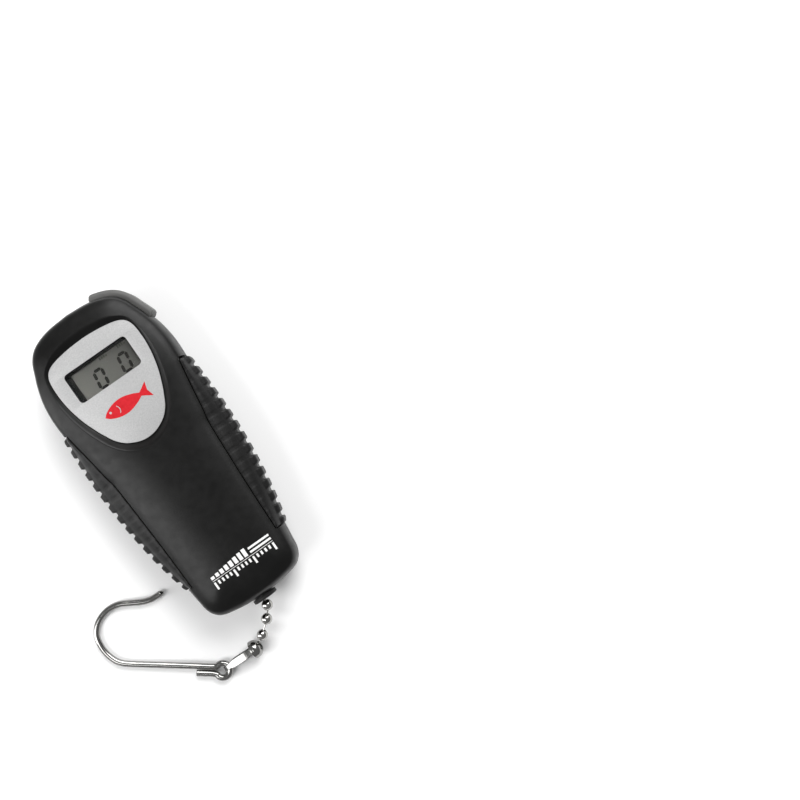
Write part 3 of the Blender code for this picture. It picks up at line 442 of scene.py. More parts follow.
def flat_mesh(name, polygons, low_z, high_z):
    """Prisms with straight sides on closed outlines, all in one mesh."""
    bm = bmesh.new()
    for outline in polygons:
        loft(bm, [[(x, y, z) for x, y in outline] for z in (low_z, high_z)])
    return mesh_of(name, bm)


def plate_mesh(name, outlines, low_z, high_z, bevel=0.0):
    """Plate of any outline, with holes from the second outline on, and a small edge bevel."""
    curve = bpy.data.curves.new(name, "CURVE")
    curve.dimensions = "2D"
    curve.fill_mode = "BOTH"
    curve.extrude = ((high_z - low_z) / 2 - bevel) * MM
    curve.bevel_depth = bevel * MM
    curve.bevel_resolution = 2
    curve.offset = -bevel * MM
    for outline in outlines:
        spline = curve.splines.new("POLY")
        spline.points.add(len(outline) - 1)
        for point, (x, y) in zip(spline.points, outline):
            point.co = (x * MM, y * MM, 0.0, 1.0)
        spline.use_cyclic_u = True
    drawn = bpy.data.objects.new(name + "_outline", curve)
    drawn.location.z = (low_z + high_z) / 2 * MM
    bpy.context.scene.collection.objects.link(drawn)
    bpy.context.view_layer.update()
    evaluated = drawn.evaluated_get(bpy.context.evaluated_depsgraph_get())
    mesh = bpy.data.meshes.new_from_object(evaluated)
    mesh.transform(drawn.matrix_world)
    bm = bmesh.new()
    bm.from_mesh(mesh)
    bmesh.ops.remove_doubles(bm, verts=bm.verts, dist=0.000001)
    bmesh.ops.recalc_face_normals(bm, faces=bm.faces)
    bm.to_mesh(mesh)
    bm.free()
    mesh.name = name
    bpy.data.objects.remove(drawn, do_unlink=True)
    return mesh


def turned_mesh(name, profile, centre, direction, closed=False, segments=48):
    """A (radius, height) profile turned about direction through centre."""
    turn = Vector(direction).to_track_quat("Z", "Y").to_matrix()
    bm = bmesh.new()
    made = []
    for step in range(segments):
        angle = 2 * math.pi * step / segments
        side = Vector((math.cos(angle), math.sin(angle), 0.0))
        made.append([bm.verts.new(Vector(centre) + turn @ (side * radius + Vector((0, 0, height))))
                     for radius, height in profile])
    count = len(profile)
    for i in range(segments):
        ring, other = made[i], made[(i + 1) % segments]
        for j in range(count if closed else count - 1):
            k = (j + 1) % count
            bm.faces.new((ring[j], ring[k], other[k], other[j]))
    bmesh.ops.remove_doubles(bm, verts=bm.verts, dist=0.0005)
    return mesh_of(name, bm)


def tube_mesh(name, points, radii, sides=24):
    """Round bar through points, with a radius at each."""
    points = [Vector(p) for p in points]
    across = Vector((0, 0, 1))
    rings = []
    for i, here in enumerate(points):
        before, after = points[max(i - 1, 0)], points[min(i + 1, len(points) - 1)]
        along = (after - before).normalized()
        side = along.cross(across).normalized()
        up = side.cross(along)
        rings.append([here + (side * math.cos(a) + up * math.sin(a)) * radii[i]
                      for a in (2 * math.pi * k / sides for k in range(sides))])
    return loft_mesh(name, rings)


def boolean(obj, other, operation="DIFFERENCE"):
    modifier = obj.modifiers.new(operation.lower() + "_" + other.name, "BOOLEAN")
    modifier.operation = operation
    modifier.object = other


def settle(obj, helpers):
    """Makes obj's modifiers part of its mesh and removes the helper objects."""
    bpy.context.view_layer.update()
    evaluated = obj.evaluated_get(bpy.context.evaluated_depsgraph_get())
    mesh = bpy.data.meshes.new_from_object(evaluated)
    obj.modifiers.clear()
    obj.data = mesh
    for helper in helpers:
        bpy.data.objects.remove(helper, do_unlink=True)


def rods(name, ends, radius):
    """Cylinders in one mesh object, for cutting or joining."""
    bm = bmesh.new()
    for start, end in ends:
        start, end = Vector(start), Vector(end)
        turn = (end - start).to_track_quat("Z", "Y").to_matrix().to_4x4()
        bmesh.ops.create_cone(bm, cap_ends=True, segments=32, radius1=radius, radius2=radius,
                              depth=(end - start).length,
                              matrix=Matrix.Translation((start + end) / 2) @ turn)
    return add(name, mesh_of(name, bm), None)


def upright(name, places, low_z, high_z, radius):
    return rods(name, [((x, y, low_z), (x, y, high_z)) for x, y in places], radius)


# -------- outlines

def smooth_curve(points, per_span):
    """Catmull-Rom curve through 2D or 3D points, per_span steps to a span."""
    points = [np.array(p, float) for p in points]
    ends = [2 * points[0] - points[1], *points, 2 * points[-1] - points[-2]]
    found = []
    for i in range(1, len(ends) - 2):
        a, b, c, d = ends[i - 1:i + 3]
        for step in range(per_span):
            t = step / per_span
            found.append(0.5 * (2 * b + (c - a) * t + (2 * a - 5 * b + 4 * c - d) * t ** 2
                                + (3 * b - a - 3 * c + d) * t ** 3))
    found.append(points[-1])
    return [tuple(p) for p in found]


def read_curve(points, at):
    places, values = zip(*smooth_curve(points, 12))
    return float(np.interp(at, places, values))


def grip_edge(y):
    return read_curve(GRIP_EDGE, y)


def grip_outer(y):
    return read_curve(GRIP_OUTER, y)


def grip_core(y):
    return grip_outer(y) - GRIP_THICKNESS


def mirrored(half):
    """A closed outline from its right half, which runs from the top centre to the bottom."""
    left = [(-x, *rest) for x, *rest in reversed(half) if x > 1e-6]
    return list(half) + left


def offset_outline(outline, distance):
    """A closed outline moved outwards by distance."""
    points = np.array(outline, float)
    along = np.roll(points, -1, 0) - np.roll(points, 1, 0)
    along /= np.linalg.norm(along, axis=1)[:, None]
    following = np.roll(points, -1, 0)
    area = (points[:, 0] * following[:, 1] - following[:, 0] * points[:, 1]).sum()
    outward = np.stack([along[:, 1], -along[:, 0]], 1) * np.sign(area)
    return [tuple(p) for p in points + outward * distance]


def rounded_rectangle(centre, size, corner, steps=6):
    outline = []
    for quarter, (sx, sy) in enumerate(((1, 1), (-1, 1), (-1, -1), (1, -1))):
        for step in range(steps + 1):
            angle = math.pi / 2 * (quarter + step / steps)
            outline.append((centre[0] + sx * (size[0] / 2 - corner) + corner * math.cos(angle),
                            centre[1] + sy * (size[1] / 2 - corner) + corner * math.sin(angle)))
    return outline


def circle(centre, radius, count):
    return [(centre[0] + radius * math.cos(a), centre[1] + radius * math.sin(a))
            for a in (2 * math.pi * k / count for k in range(count))]


def rectangle(centre, size):
    half_x, half_y = size[0] / 2, size[1] / 2
    return [(centre[0] + sx * half_x, centre[1] + sy * half_y)
            for sx, sy in ((-1, -1), (1, -1), (1, 1), (-1, 1))]


def body_stations(steps, grip_steps, for_cavity=False):
    """Right-hand outline as (mid point, edge point, in the grip pocket), top to bottom.

    The cavity leaves out the ends of the grip pocket, so that its wall passes them smoothly.
    """
    top, bottom = (28.0, -45.0) if for_cavity else (0.0, 0.0)
    stations = []
    for mid, edge in zip(smooth_curve(TOP_MID, steps), smooth_curve(TOP_EDGE, steps)):
        if mid[1] > top:
            stations.append((mid, edge, False))
    for y in np.linspace(GRIP_TOP_Y, GRIP_BOTTOM_Y, grip_steps):
        stations.append(((grip_core(y), y), (grip_edge(y), y), True))
    for mid, edge in zip(smooth_curve(BOTTOM_MID, steps), smooth_curve(BOTTOM_EDGE, steps)):
        if mid[1] < bottom:
            stations.append((mid, edge, False))
    return stations


def side_rings(stations, direction, start_z, inset=0.0, levels=4):
    """Rings from the parting plane to the edge line. direction is 1 up, -1 down."""
    free = smooth_curve(SIDE_PROFILE, levels)
    pocket = smooth_curve(POCKET_PROFILE, levels)
    flatten = 1 - inset / SIDE_PROFILE[-1][1]
    rings = []
    for level in range(len(free)):
        half, rises = [], []
        for mid, edge, in_pocket in stations:
            share, rise = (pocket if in_pocket else free)[level]
            half.append((max(edge[0] + (mid[0] - edge[0]) * share, 0.0),
                         edge[1] + (mid[1] - edge[1]) * share))
            rises.append(rise * flatten)
        heights = [start_z if level == 0 else PARTING_Z + direction * rise
                   for rise in rises + rises[-2:0:-1]]
        outline = offset_outline(mirrored(half), -inset)
        rings.append([(x, y, z) for (x, y), z in zip(outline, heights)])
    return rings


# -------- front of the case

def distance_to_outline(points, outline):
    """How far each 2D point is from a closed outline."""
    start = np.array(outline, float)
    run = np.roll(start, -1, 0) - start
    length = (run ** 2).sum(1)
    nearest = np.full(len(points), np.inf)
    for a, b, square in zip(start, run, length):
        share = np.clip(((points - a) @ b) / square, 0, 1)
        gap = np.linalg.norm(points - a - share[:, None] * b, axis=1)
        nearest = np.minimum(nearest, gap)
    return nearest


def face_heights(points, edge_outline):
    """Height of the crowned face, which rises from the edge line and levels off."""
    distance = distance_to_outline(points, edge_outline)
    crown = CROWN * (1 - (1 - np.clip(distance / CROWN_REACH, 0, 1)) ** 2.2)
    drop = EDGE_DROP * (1 - np.clip(distance / EDGE_REACH, 0, 1)) ** 2.5
    return FACE_EDGE_Z + crown - drop


def radii_at(outline, angles):
    """Distance from the face's centre to a closed outline along each angle."""
    around = np.array(outline) - FACE_CENTRE
    found = np.arctan2(around[:, 1], around[:, 0])
    order = np.argsort(found)
    return np.interp(angles, found[order], np.linalg.norm(around, axis=1)[order],
                     period=2 * math.pi)


def closed_outline(half, steps):
    """Smooth closed outline from its right half, with no corner at the top or the bottom."""
    beyond_top, beyond_bottom = (-half[1][0], half[1][1]), (-half[-2][0], half[-2][1])
    dense = smooth_curve([beyond_top, *half, beyond_bottom], steps)[steps:-steps]
    return mirrored([(max(x, 0.0), y) for x, y in dense])


def front_case():
    """Crowned face with a sloped recess for the label, as one skin with thickness."""
    stations = body_stations(8, 70)
    rings = side_rings(stations, 1, PARTING_Z + SEAM_GAP / 2)
    edge = np.array(rings[-1])[:, :2]
    angles = np.arctan2(*(edge - FACE_CENTRE).T[::-1])
    ways = np.stack([np.cos(angles), np.sin(angles)], 1)
    rim_radius = radii_at(closed_outline(RECESS_RIM, 12), angles)
    seat_radius = radii_at(offset_outline(closed_outline(LABEL_OUTLINE, 12), 0.12), angles)
    rim = FACE_CENTRE + ways * rim_radius[:, None]
    for share in 1 - (1 - np.linspace(0, 1, 41)[1:]) ** 1.25:
        places = edge + (rim - edge) * share
        rings.append(np.column_stack([places, face_heights(places, edge)]))
    rim_heights = rings[-1][:, 2]
    for across, down in RECESS_WALL:
        radius = rim_radius + (seat_radius - rim_radius) * across
        heights = rim_heights + (LABEL_SEAT_Z - rim_heights) * down
        rings.append(np.column_stack([FACE_CENTRE + ways * radius[:, None], heights]))
    inner = FACE_CENTRE + ways * (seat_radius * 0.93)[:, None]
    rings.append(np.column_stack([inner, np.full(len(inner), LABEL_SEAT_Z)]))
    obj = add("front_case", loft_mesh("front_case", rings, False), BLACK_PLASTIC)
    thicken = obj.modifiers.new("wall", "SOLIDIFY")
    thicken.thickness = FRONT_SKIN * MM
    thicken.offset = -1.0
    slot = button_slot()
    boolean(obj, slot)
    settle(obj, [slot])
    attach(obj, "housing")
    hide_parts("front_shell")
    smooth(obj, 32)


# -------- back of the case

def shrunk_ring(stations, share, ends, z, inset=0.0):
    reach = TOP_EDGE[0][1]
    half = [(max(edge[0], 0.0), edge[1]) for _, edge, _ in stations]
    outline = offset_outline(mirrored(half), -inset)
    return [(x * share, y * (1 - ends / reach), z) for x, y in outline]


def back_rings(stations, start_z, inset=0.0, levels=4):
    steps = 1 if inset else 4
    edge_height = PARTING_Z - SIDE_PROFILE[-1][1]
    curve = smooth_curve([(1.0, 0.0, edge_height), *BACK_RINGS], steps)[1:]
    back = [shrunk_ring(stations, share, ends, z + inset * (1 - z / 8), inset)
            for share, ends, z in curve]
    return side_rings(stations, -1, start_z, inset, levels) + back


def outward_ways(path):
    """Unit vectors square to a 2D path, on its left."""
    last = len(path) - 1
    alongs = [(path[min(i + 1, last)] - path[max(i - 1, 0)]).normalized()
              for i in range(last + 1)]
    return [Vector((-along.y, along.x)) for along in alongs]


def button_outline(inner, outer, spread):
    """Band along the upper right corner between two offsets, spread longer at its ends."""
    dense = smooth_curve(TOP_MID, 8)
    top_y, low_y = BUTTON_ENDS_Y[0] + spread * 0.2, BUTTON_ENDS_Y[1] - spread
    path = [Vector(p) for p in dense if low_y <= p[1] <= top_y]
    path[0] += Vector((-spread * 0.6, 0.0))
    ways = outward_ways(path)
    outside = [tuple(here + way * outer) for here, way in zip(path, ways)]
    inside = [tuple(here + way * inner) for here, way in zip(path, ways)]
    return outside + inside[::-1]


def button_slot():
    outline = button_outline(-2.9, 4.0, 0.75)
    mesh = flat_mesh("button_slot", [outline], BUTTON_Z[0] - 0.4, BUTTON_Z[1] + 0.4)
    return add("button_slot", mesh, None)


def battery_bay():
    outlines = []
    for grow in (BAY_WALL, 0.0):
        side, low, high = BAY_HALF_WIDTH + grow, BAY_Y[0] - grow, BAY_Y[1] + grow
        outlines.append(mirrored([(0, high), (side - 2.8, high), (side, high - 2.8), (side, low),
                                  (0, low)]))
    return add("bay", plate_mesh("bay", outlines, 1.3, BAY_TOP_Z), None)


def door_prism(name, gap):
    """The door's stepped section, run along Y. gap makes it the opening's cutter."""
    narrow = DOOR_HALF_WIDTH + gap
    wide = narrow + DOOR_TONGUE
    step = DOOR_STEP_Z - (0.1 if gap else 0.0)
    top = DOOR_TOP_Z + (0.6 if gap else 0.0)
    section = [(-narrow, -1), (narrow, -1), (narrow, step), (wide, step), (wide, top),
               (-wide, top), (-wide, step), (-narrow, step)]
    low_y = BAY_Y[0] + DOOR_GAP - gap
    rings = [[(x, y, z) for x, z in section] for y in (low_y, 60)]
    return add(name, loft_mesh(name, rings), None)


def rear_case():
    """Flat-backed rear shell with the battery bay, its screw posts and their recesses."""
    outer = back_rings(body_stations(6, 24), PARTING_Z - SEAM_GAP / 2)
    obj = add("rear_case", loft_mesh("rear_case", outer), BLACK_PLASTIC)
    inner = back_rings(body_stations(1, 5, True), PARTING_Z + 1, WALL, 1)
    cavity = add("cavity", loft_mesh("cavity", inner), None)
    boolean(obj, cavity)
    limit_rings = back_rings(body_stations(1, 5, True), PARTING_Z, 1.0, 1)
    limit = add("limit", loft_mesh("limit", limit_rings), None)
    inside = battery_bay()
    posts = upright("posts", HOUSING_SCREWS, 0.5, PARTING_Z - 0.4, POST_RADIUS)
    cell_posts = upright("cell_posts", CELL_SCREWS, 0.5, CELL_POST_TOP_Z, CELL_POST_RADIUS)
    boolean(inside, posts, "UNION")
    boolean(inside, cell_posts, "UNION")
    boolean(inside, limit, "INTERSECT")
    boolean(obj, inside, "UNION")
    cutters = [door_prism("door_opening", DOOR_GAP),
               upright("through", HOUSING_SCREWS, -1, PARTING_Z + 1, SCREW_HOLE_RADIUS),
               upright("heads", HOUSING_SCREWS, -1, SCREW_HEAD_Z, SCREW_HEAD_RADIUS),
               rods("chain_hole", [((0, -61, CHAIN_Z), (0, -52, CHAIN_Z))], CHAIN_HOLE_RADIUS),
               button_slot()]
    group = bpy.data.collections.new("rear_openings")
    bpy.context.scene.collection.children.link(group)
    for cutter in cutters:
        group.objects.link(cutter)
    openings = obj.modifiers.new("openings", "BOOLEAN")
    openings.operand_type = "COLLECTION"
    openings.collection = group
    settle(obj, [cavity, limit, inside, posts, cell_posts, *cutters])
    bpy.data.collections.remove(group)
    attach(obj, "housing")
    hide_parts("rear_shell")
    smooth(obj, 30)


def door():
    """Sliding battery door with thumb grooves."""
    rings = back_rings(body_stations(6, 24), PARTING_Z - SEAM_GAP / 2)
    obj = add("door", loft_mesh("door", rings), BLACK_PLASTIC)
    prism = door_prism("door_section", 0.0)
    boolean(obj, prism, "INTERSECT")
    grooves = [rectangle((0, 10 + 1.8 * i), (12 - 1.2 * i, 0.8)) for i in range(5)]
    cutter = add("grooves", flat_mesh("grooves", grooves, -0.4, 0.4), None)
    boolean(obj, cutter)
    settle(obj, [prism, cutter])
    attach(obj, "battery_door")
    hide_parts("battery_door")
    smooth(obj, 30)


# -------- grips, button, bush

def rib_shape(y):
    """0 between ribs to 1 on a rib's rounded top, at one height on the body."""
    place = (RIB_FIRST_Y - y) / RIB_PITCH
    nearest = min(max(round(place), 0), RIB_COUNT - 1)
    off = abs(place - nearest)
    if off > 0.5:
        return 0.0
    rise = min(max((0.38 - off) / 0.15, 0.0), 1.0)
    return math.sin(rise * math.pi / 2) ** 1.2


def grip_section(y, side):
    """Closed section of a grip, from the lip at the face round the outside to the back."""
    edge, core, outer = grip_edge(y), grip_core(y), grip_outer(y)
    span = outer - edge
    rib = rib_shape(y)
    near_end = min((GRIP_TOP_Y - GRIP_TOP_GAP - y) / 1.2,
                   (y - GRIP_BOTTOM_Y - GRIP_BOTTOM_GAP) / 1.2, 1.0)
    rounding = 0.5 * (1 - math.sqrt(max(near_end, 0.0)))
    inner_half = [(edge + (core - edge) * share + 0.3, height + 0.2)
                  for share, height in ((0.12, 7.1), (0.5, 5.6), (0.95, 3.0))]
    outer_half = smooth_curve([(edge + 0.62, 8.1), (edge + 0.3 * span + 0.45, 7.5),
                               (edge + 0.72 * span, 5.9), (outer - 0.1, 3.6), (outer, 0.0)], 8)
    front = []
    for x, z in outer_half[:-1]:
        weight = math.sqrt(min(max((RIB_TOP_Z - z) / 1.1, 0.0), 1.0))
        crease = -CREASE * (1 - rib) * (1 - weight)
        front.append((x + RIB_RISE * rib * weight + crease - rounding, z + crease - rounding * 0.4))
    top = [(edge + 0.2, 7.3), (edge + 0.22, 7.8), (edge + 0.34, 8.06), *front]
    half = inner_half[::-1] + top
    section = half + [(x, -z) for x, z in reversed(half)]
    return [(side * x, y, PARTING_Z + z) for x, z in section]


def side_grip(name, side, node):
    top, bottom = GRIP_TOP_Y - GRIP_TOP_GAP, GRIP_BOTTOM_Y + GRIP_BOTTOM_GAP
    stations = np.linspace(top, bottom, RIB_COUNT * 20)
    rings = [grip_section(y, side) for y in stations]
    obj = add(name, loft_mesh(name, rings), BLACK_RUBBER, "housing", [node])
    smooth(obj, 40)


def button():
    """Crowned rubber button that follows the upper right corner."""
    dense = smooth_curve(TOP_MID, 12)
    path = [Vector(p) for p in dense if BUTTON_ENDS_Y[1] <= p[1] <= BUTTON_ENDS_Y[0]]
    low_z, high_z = BUTTON_Z
    middle, half = (low_z + high_z) / 2, (high_z - low_z) / 2
    crown, edge = BUTTON_CORNER
    quarter = [(crown * math.sin(a), edge * math.cos(a))
               for a in (math.pi / 2 * step / 8 for step in range(9))]
    rings = []
    for here, outward in zip(path, outward_ways(path)):
        to_end = min((here - path[0]).length, (here - path[-1]).length)
        taper = math.sqrt(1 - (1 - min(to_end / 1.5, 1.0)) ** 2)
        rise = -BUTTON_DEPTH + (BUTTON_RISE + BUTTON_DEPTH) * (0.55 + 0.45 * taper)
        ring = [(-BUTTON_DEPTH, -half + 0.4), (-BUTTON_DEPTH, half - 0.4)]
        ring += [(rise - crown + out, half - edge + up) for out, up in quarter]
        ring += [(rise - crown + out, -half + edge - up) for out, up in reversed(quarter)]
        rings.append([(*(here + outward * out), middle + up) for out, up in ring])
    obj = add("button_cap", loft_mesh("button_cap", rings), GREY_RUBBER, "button",
              ["power_button"])
    smooth(obj, 50)


def bush():
    """Rubber bush round the chain, with softened rims."""
    profile = [(2.3, 4.5), (4.2, 4.5), (4.2, 3.7), (3.4, 3.7), (3.4, 1.1), (4.2, 1.1),
               (4.35, 0.95), (4.35, 0.1), (4.28, -0.1), (4.1, -0.22), (3.85, -0.28), (3.4, -0.22),
               (2.95, 0.0), (2.6, 0.35), (2.4, 0.8), (2.3, 1.3)]
    mesh = turned_mesh("bush", profile, (0, -58.5, CHAIN_Z), (0, 1, 0), True, 64)
    obj = add("bush", mesh, BUSH_RUBBER, "housing", ["chain_grommet"])
    smooth(obj, 35)


# -------- label, display, prints

def label():
    opening = rounded_rectangle(DISPLAY_CENTRE, DISPLAY_SIZE, DISPLAY_CORNER)
    outline = offset_outline(closed_outline(LABEL_OUTLINE, 12), -0.08)
    mesh = plate_mesh("label", [outline, opening], LABEL_SEAT_Z + 0.05, LABEL_TOP_Z, 0.06)
    obj = add("label", mesh, SILVER_LABEL, "housing", ["label_plate"])
    smooth(obj, 30)


def display():
    """Dark well behind the label's opening, a black strip at the display's left and top that is
    partly its dark border and partly painted shadow, the clear pane, and the display glass.
    """
    outer = [size + 2 * WELL_WALL for size in DISPLAY_SIZE]
    well_edge = rounded_rectangle(DISPLAY_CENTRE, outer, DISPLAY_CORNER + WELL_WALL)
    label_edge = rounded_rectangle(DISPLAY_CENTRE, DISPLAY_SIZE, DISPLAY_CORNER)
    low_z = LCD_Z[1] + 0.02
    well = plate_mesh("display_well", [well_edge, label_edge], low_z, WELL_TOP_Z)
    smooth(add("display_well", well, WELL_AND_SHADOW_BLACK, "housing"), 30)
    # Black strip at display level, wide only at the left and top: partly the display's dark border,
    # partly painted shadow of the well's walls.
    opening = rounded_rectangle(MARGIN_AND_SHADOW_CENTRE, MARGIN_AND_SHADOW_SIZE, 0.5)
    margin_and_shadow = plate_mesh("display_margin_and_shadow", [well_edge, opening], low_z, LCD_Z[1] + 0.3, 0.05)
    add("display_margin_and_shadow", margin_and_shadow, WELL_AND_SHADOW_BLACK, "housing")
    size = [side - 0.1 for side in DISPLAY_SIZE]
    pane = rounded_rectangle(DISPLAY_CENTRE, size, DISPLAY_CORNER)
    add("display_pane", plate_mesh("display_pane", [pane], *PANE_Z), CLEAR_PANE, "housing",
        ["display_window"])
    glass = rounded_rectangle(DISPLAY_CENTRE, LCD_SIZE, 0.2, 2)
    add("display_glass", plate_mesh("display_glass", [glass], *LCD_Z), LIQUID_CRYSTAL, "housing",
        ["lcd_panel"])


def segment(start, end, width):
    """Bar with pointed ends between two places."""
    start, end = Vector(start), Vector(end)
    along = (end - start).normalized()
    side = Vector((-along.y, along.x)) * width / 2
    tip = along * width / 2
    return [start, start + tip + side, end - tip + side, end, end - tip - side,
            start + tip - side]


def zero(centre, size, width, lean):
    """Seven-segment nought, leaning to the right."""
    half_x, half_y = size[0] / 2, size[1] / 2
    gap = width * 0.14

    def place(x, y):
        return centre[0] + x * half_x + lean * y * half_y, centre[1] + y * half_y

    bars = [((-1, 1), (1, 1)), ((-1, -1), (1, -1)), ((-1, 0), (-1, 1)), ((1, 0), (1, 1)),
            ((-1, -1), (-1, 0)), ((1, -1), (1, 0))]
    found = []
    for a, b in bars:
        a, b = Vector(place(*a)), Vector(place(*b))
        step = (b - a).normalized() * gap
        found.append([tuple(p) for p in segment(a + step, b - step, width)])
    return found


def display_marks():
    digits = []
    for x in (-2.4, 7.2):
        digits += zero((x, 32.45), (3.05, 6.05), 1.05, 0.14)
    z = LCD_Z[1]
    obj = add("display_digits", flat_mesh("display_digits", digits, z + 0.01, z + 0.03),
              SEGMENT_INK, "housing")
    marks = []
    for x in (2.0, 9.2):
        marks += [rectangle((x + step, 38.1), (0.5, 1.1)) for step in (-1.2, -0.4, 0.4)]
        marks.append(rectangle((x + 1.25, 37.85), (0.5, 0.6)))
    obj = add("display_unit_marks", flat_mesh("display_unit_marks", marks, z + 0.01, z + 0.02),
              FAINT_INK, "housing")


def fish_mark():
    """Generic fish silhouette printed on the label."""
    centre_x, centre_y = 0.2, 20.5
    back = smooth_curve([(-8.6, 0.0), (-7.0, 1.35), (-4.0, 2.5), (-0.6, 2.75), (3.0, 1.8),
                         (5.4, 0.65)], 6)
    tail = [(6.4, 1.2), (8.9, 2.75), (8.1, 0.0)]
    half = back + tail
    outline = half + [(x, -y) for x, y in reversed(half[1:-1])]
    eye = circle((-6.2, 0.5), 0.42, 16)
    gill = [(-4.6 + 1.9 * math.cos(a), 1.9 * math.sin(a)) for a in np.linspace(-0.85, 0.85, 12)]
    gill += [(-4.75 + 1.75 * math.cos(a), 1.75 * math.sin(a)) for a in np.linspace(0.8, -0.8, 12)]
    shapes = [[(x + centre_x, y + centre_y) for x, y in shape] for shape in (outline, eye, gill)]
    mesh = plate_mesh("fish_mark", shapes, LABEL_TOP_Z + 0.005, LABEL_TOP_Z + 0.03)
    obj = add("fish_mark", mesh, RED_INK, "housing")


def load_gauge_print():
    """White print near the chain: rising bars over a rule, with ticks below it."""
    left, right, rule_y = -9.8, 13.9, -43.9
    shapes = [rectangle(((left + right) / 2, rule_y), (right - left, 0.16))]
    for i in range(8):
        height = 1.0 + 0.27 * i
        shapes.append(rectangle((left + 0.7 + 1.9 * i, rule_y + 0.55 + height / 2),
                                (1.3, height)))
    for i in range(2):
        shapes.append(rectangle((9.9, rule_y + 1.05 + 1.35 * i), (8.0, 0.7)))
    for i in range(16):
        height = 2.6 if i % 5 == 0 else 1.3
        shapes.append(rectangle((left + 0.35 + 1.533 * i, rule_y - 0.55 - height / 2),
                                (0.7, height)))
    return shapes


def case_print():
    """The white print, laid on the crowned face."""
    edge = np.array(side_rings(body_stations(8, 70), 1, PARTING_Z)[-1])[:, :2]
    bm = bmesh.new()
    for low, _, high, _ in load_gauge_print():
        across, up = (max(int((b - a) / 0.4), 1) + 1 for a, b in zip(low, high))
        made = []
        for y in np.linspace(low[1], high[1], up):
            row = np.array([(x, y) for x in np.linspace(low[0], high[0], across)])
            heights = face_heights(row, edge) + PRINT_LIFT
            made.append([bm.verts.new((*place, z)) for place, z in zip(row, heights)])
        for row, after in zip(made, made[1:]):
            for i in range(across - 1):
                bm.faces.new((row[i], row[i + 1], after[i + 1], after[i]))
    obj = add("case_print", mesh_of("case_print", bm), WHITE_INK, "housing")


# -------- chain, connector, hook

def heading_vector(heading, dip):
    """Unit vector at heading degrees from -Y towards -X, and dip degrees below level."""
    turn, down = math.radians(heading), math.radians(dip)
    return Vector((-math.sin(turn) * math.cos(down), -math.cos(turn) * math.cos(down),
                   -math.sin(down)))


def arc(radius, start, end, count):
    """(radius from the axis, height) points on a circle, by angle from the axis."""
    angles = [start + (end - start) * i / count for i in range(count + 1)]
    return [(radius * math.sin(a), radius * math.cos(a)) for a in angles]


def chain_ball(index, centre, direction, body):
    """Hollow ball, rolled from strip, with a hole at each end."""
    inner = BALL_RADIUS - BALL_WALL
    outer_edge, inner_edge = math.asin(BALL_HOLE / BALL_RADIUS), math.asin(BALL_HOLE / inner)
    profile = arc(BALL_RADIUS, outer_edge, math.pi - outer_edge, 24)
    profile += arc(inner, math.pi - inner_edge, inner_edge, 10)
    name = f"bead_{index}"
    mesh = turned_mesh(name, profile, centre, direction, True, 40)
    obj = add(name, mesh, CHAIN_STEEL, body, [f"chain_ball_{index}"])
    smooth(obj, 45)


def chain_link(index, start, direction, body):
    """Wire between two balls, with a round head at each end."""
    length = BALL_PITCH - 2 * PIVOT_REACH
    joint_angle = math.asin(LINK_RADIUS / LINK_HEAD)
    cap = arc(LINK_HEAD, 0, math.pi - joint_angle, 10)
    profile = [(radius, height + length) for radius, height in cap]
    profile += [(radius, -height) for radius, height in reversed(cap)]
    profile[0], profile[-1] = (0.0, profile[0][1]), (0.0, profile[-1][1])
    name = f"link_wire_{index}"
    mesh = turned_mesh(name, profile, start, direction, False, 20)
    obj = add(name, mesh, CHAIN_STEEL, body, [f"chain_link_{index}"])
    smooth(obj, 45)


def chain():
    """All balls and links. Returns the last ball's centre."""
    straight = Vector((0, -1, 0))
    anchor_ball = Vector((0, BORE_BALL_Y + BALL_PITCH, CHAIN_Z))
    chain_ball(0, anchor_ball, straight, "housing")
    chain_link(0, anchor_ball + straight * PIVOT_REACH, straight, "housing")
    centre = Vector((0, BORE_BALL_Y, CHAIN_Z))
    heading = 0
    link_length = BALL_PITCH - 2 * PIVOT_REACH
    for i, dip in enumerate(BALL_DIPS):
        direction = heading_vector(heading, dip)
        chain_ball(i + 1, centre, direction, "housing" if i == 0 else f"chain_ball_{i + 1}")
        if i == len(LINK_HEADINGS):
            return centre
        outlet = centre + direction * PIVOT_REACH
        heading = LINK_HEADINGS[i]
        along = heading_vector(heading, dip)
        chain_link(i + 1, outlet, along, f"chain_link_{i + 1}")
        centre = (outlet + along * link_length
                  + heading_vector(heading, BALL_DIPS[i + 1]) * PIVOT_REACH)


def connector_bell(ball_centre, along):
    outer = [(radius, height * BELL_DEPTH) for radius, height in
             arc(BELL_RADIUS, math.asin(BELL_HOLE / BELL_RADIUS), math.pi / 2, 16)]
    inner = BELL_RADIUS - BELL_WALL
    inside = [(radius, height * BELL_DEPTH) for radius, height in
              arc(inner, math.pi / 2, math.asin(BELL_HOLE / inner), 16)]
    rim = [(BELL_RADIUS + 0.02, 0.7 - BELL_RIM), (BELL_RADIUS + 0.1, 0.25 - BELL_RIM),
           (BELL_RADIUS + 0.08, 0.07 - BELL_RIM), (BELL_RADIUS - 0.05, -BELL_RIM),
           (inner + 0.15, 0.02 - BELL_RIM), (inner + 0.1, 0.2 - BELL_RIM)]
    mesh = turned_mesh("bell", outer + rim + inside, ball_centre, along, True, 64)
    obj = add("bell", mesh, STEEL, "connector", ["connector_bell"])
    smooth(obj, 45)


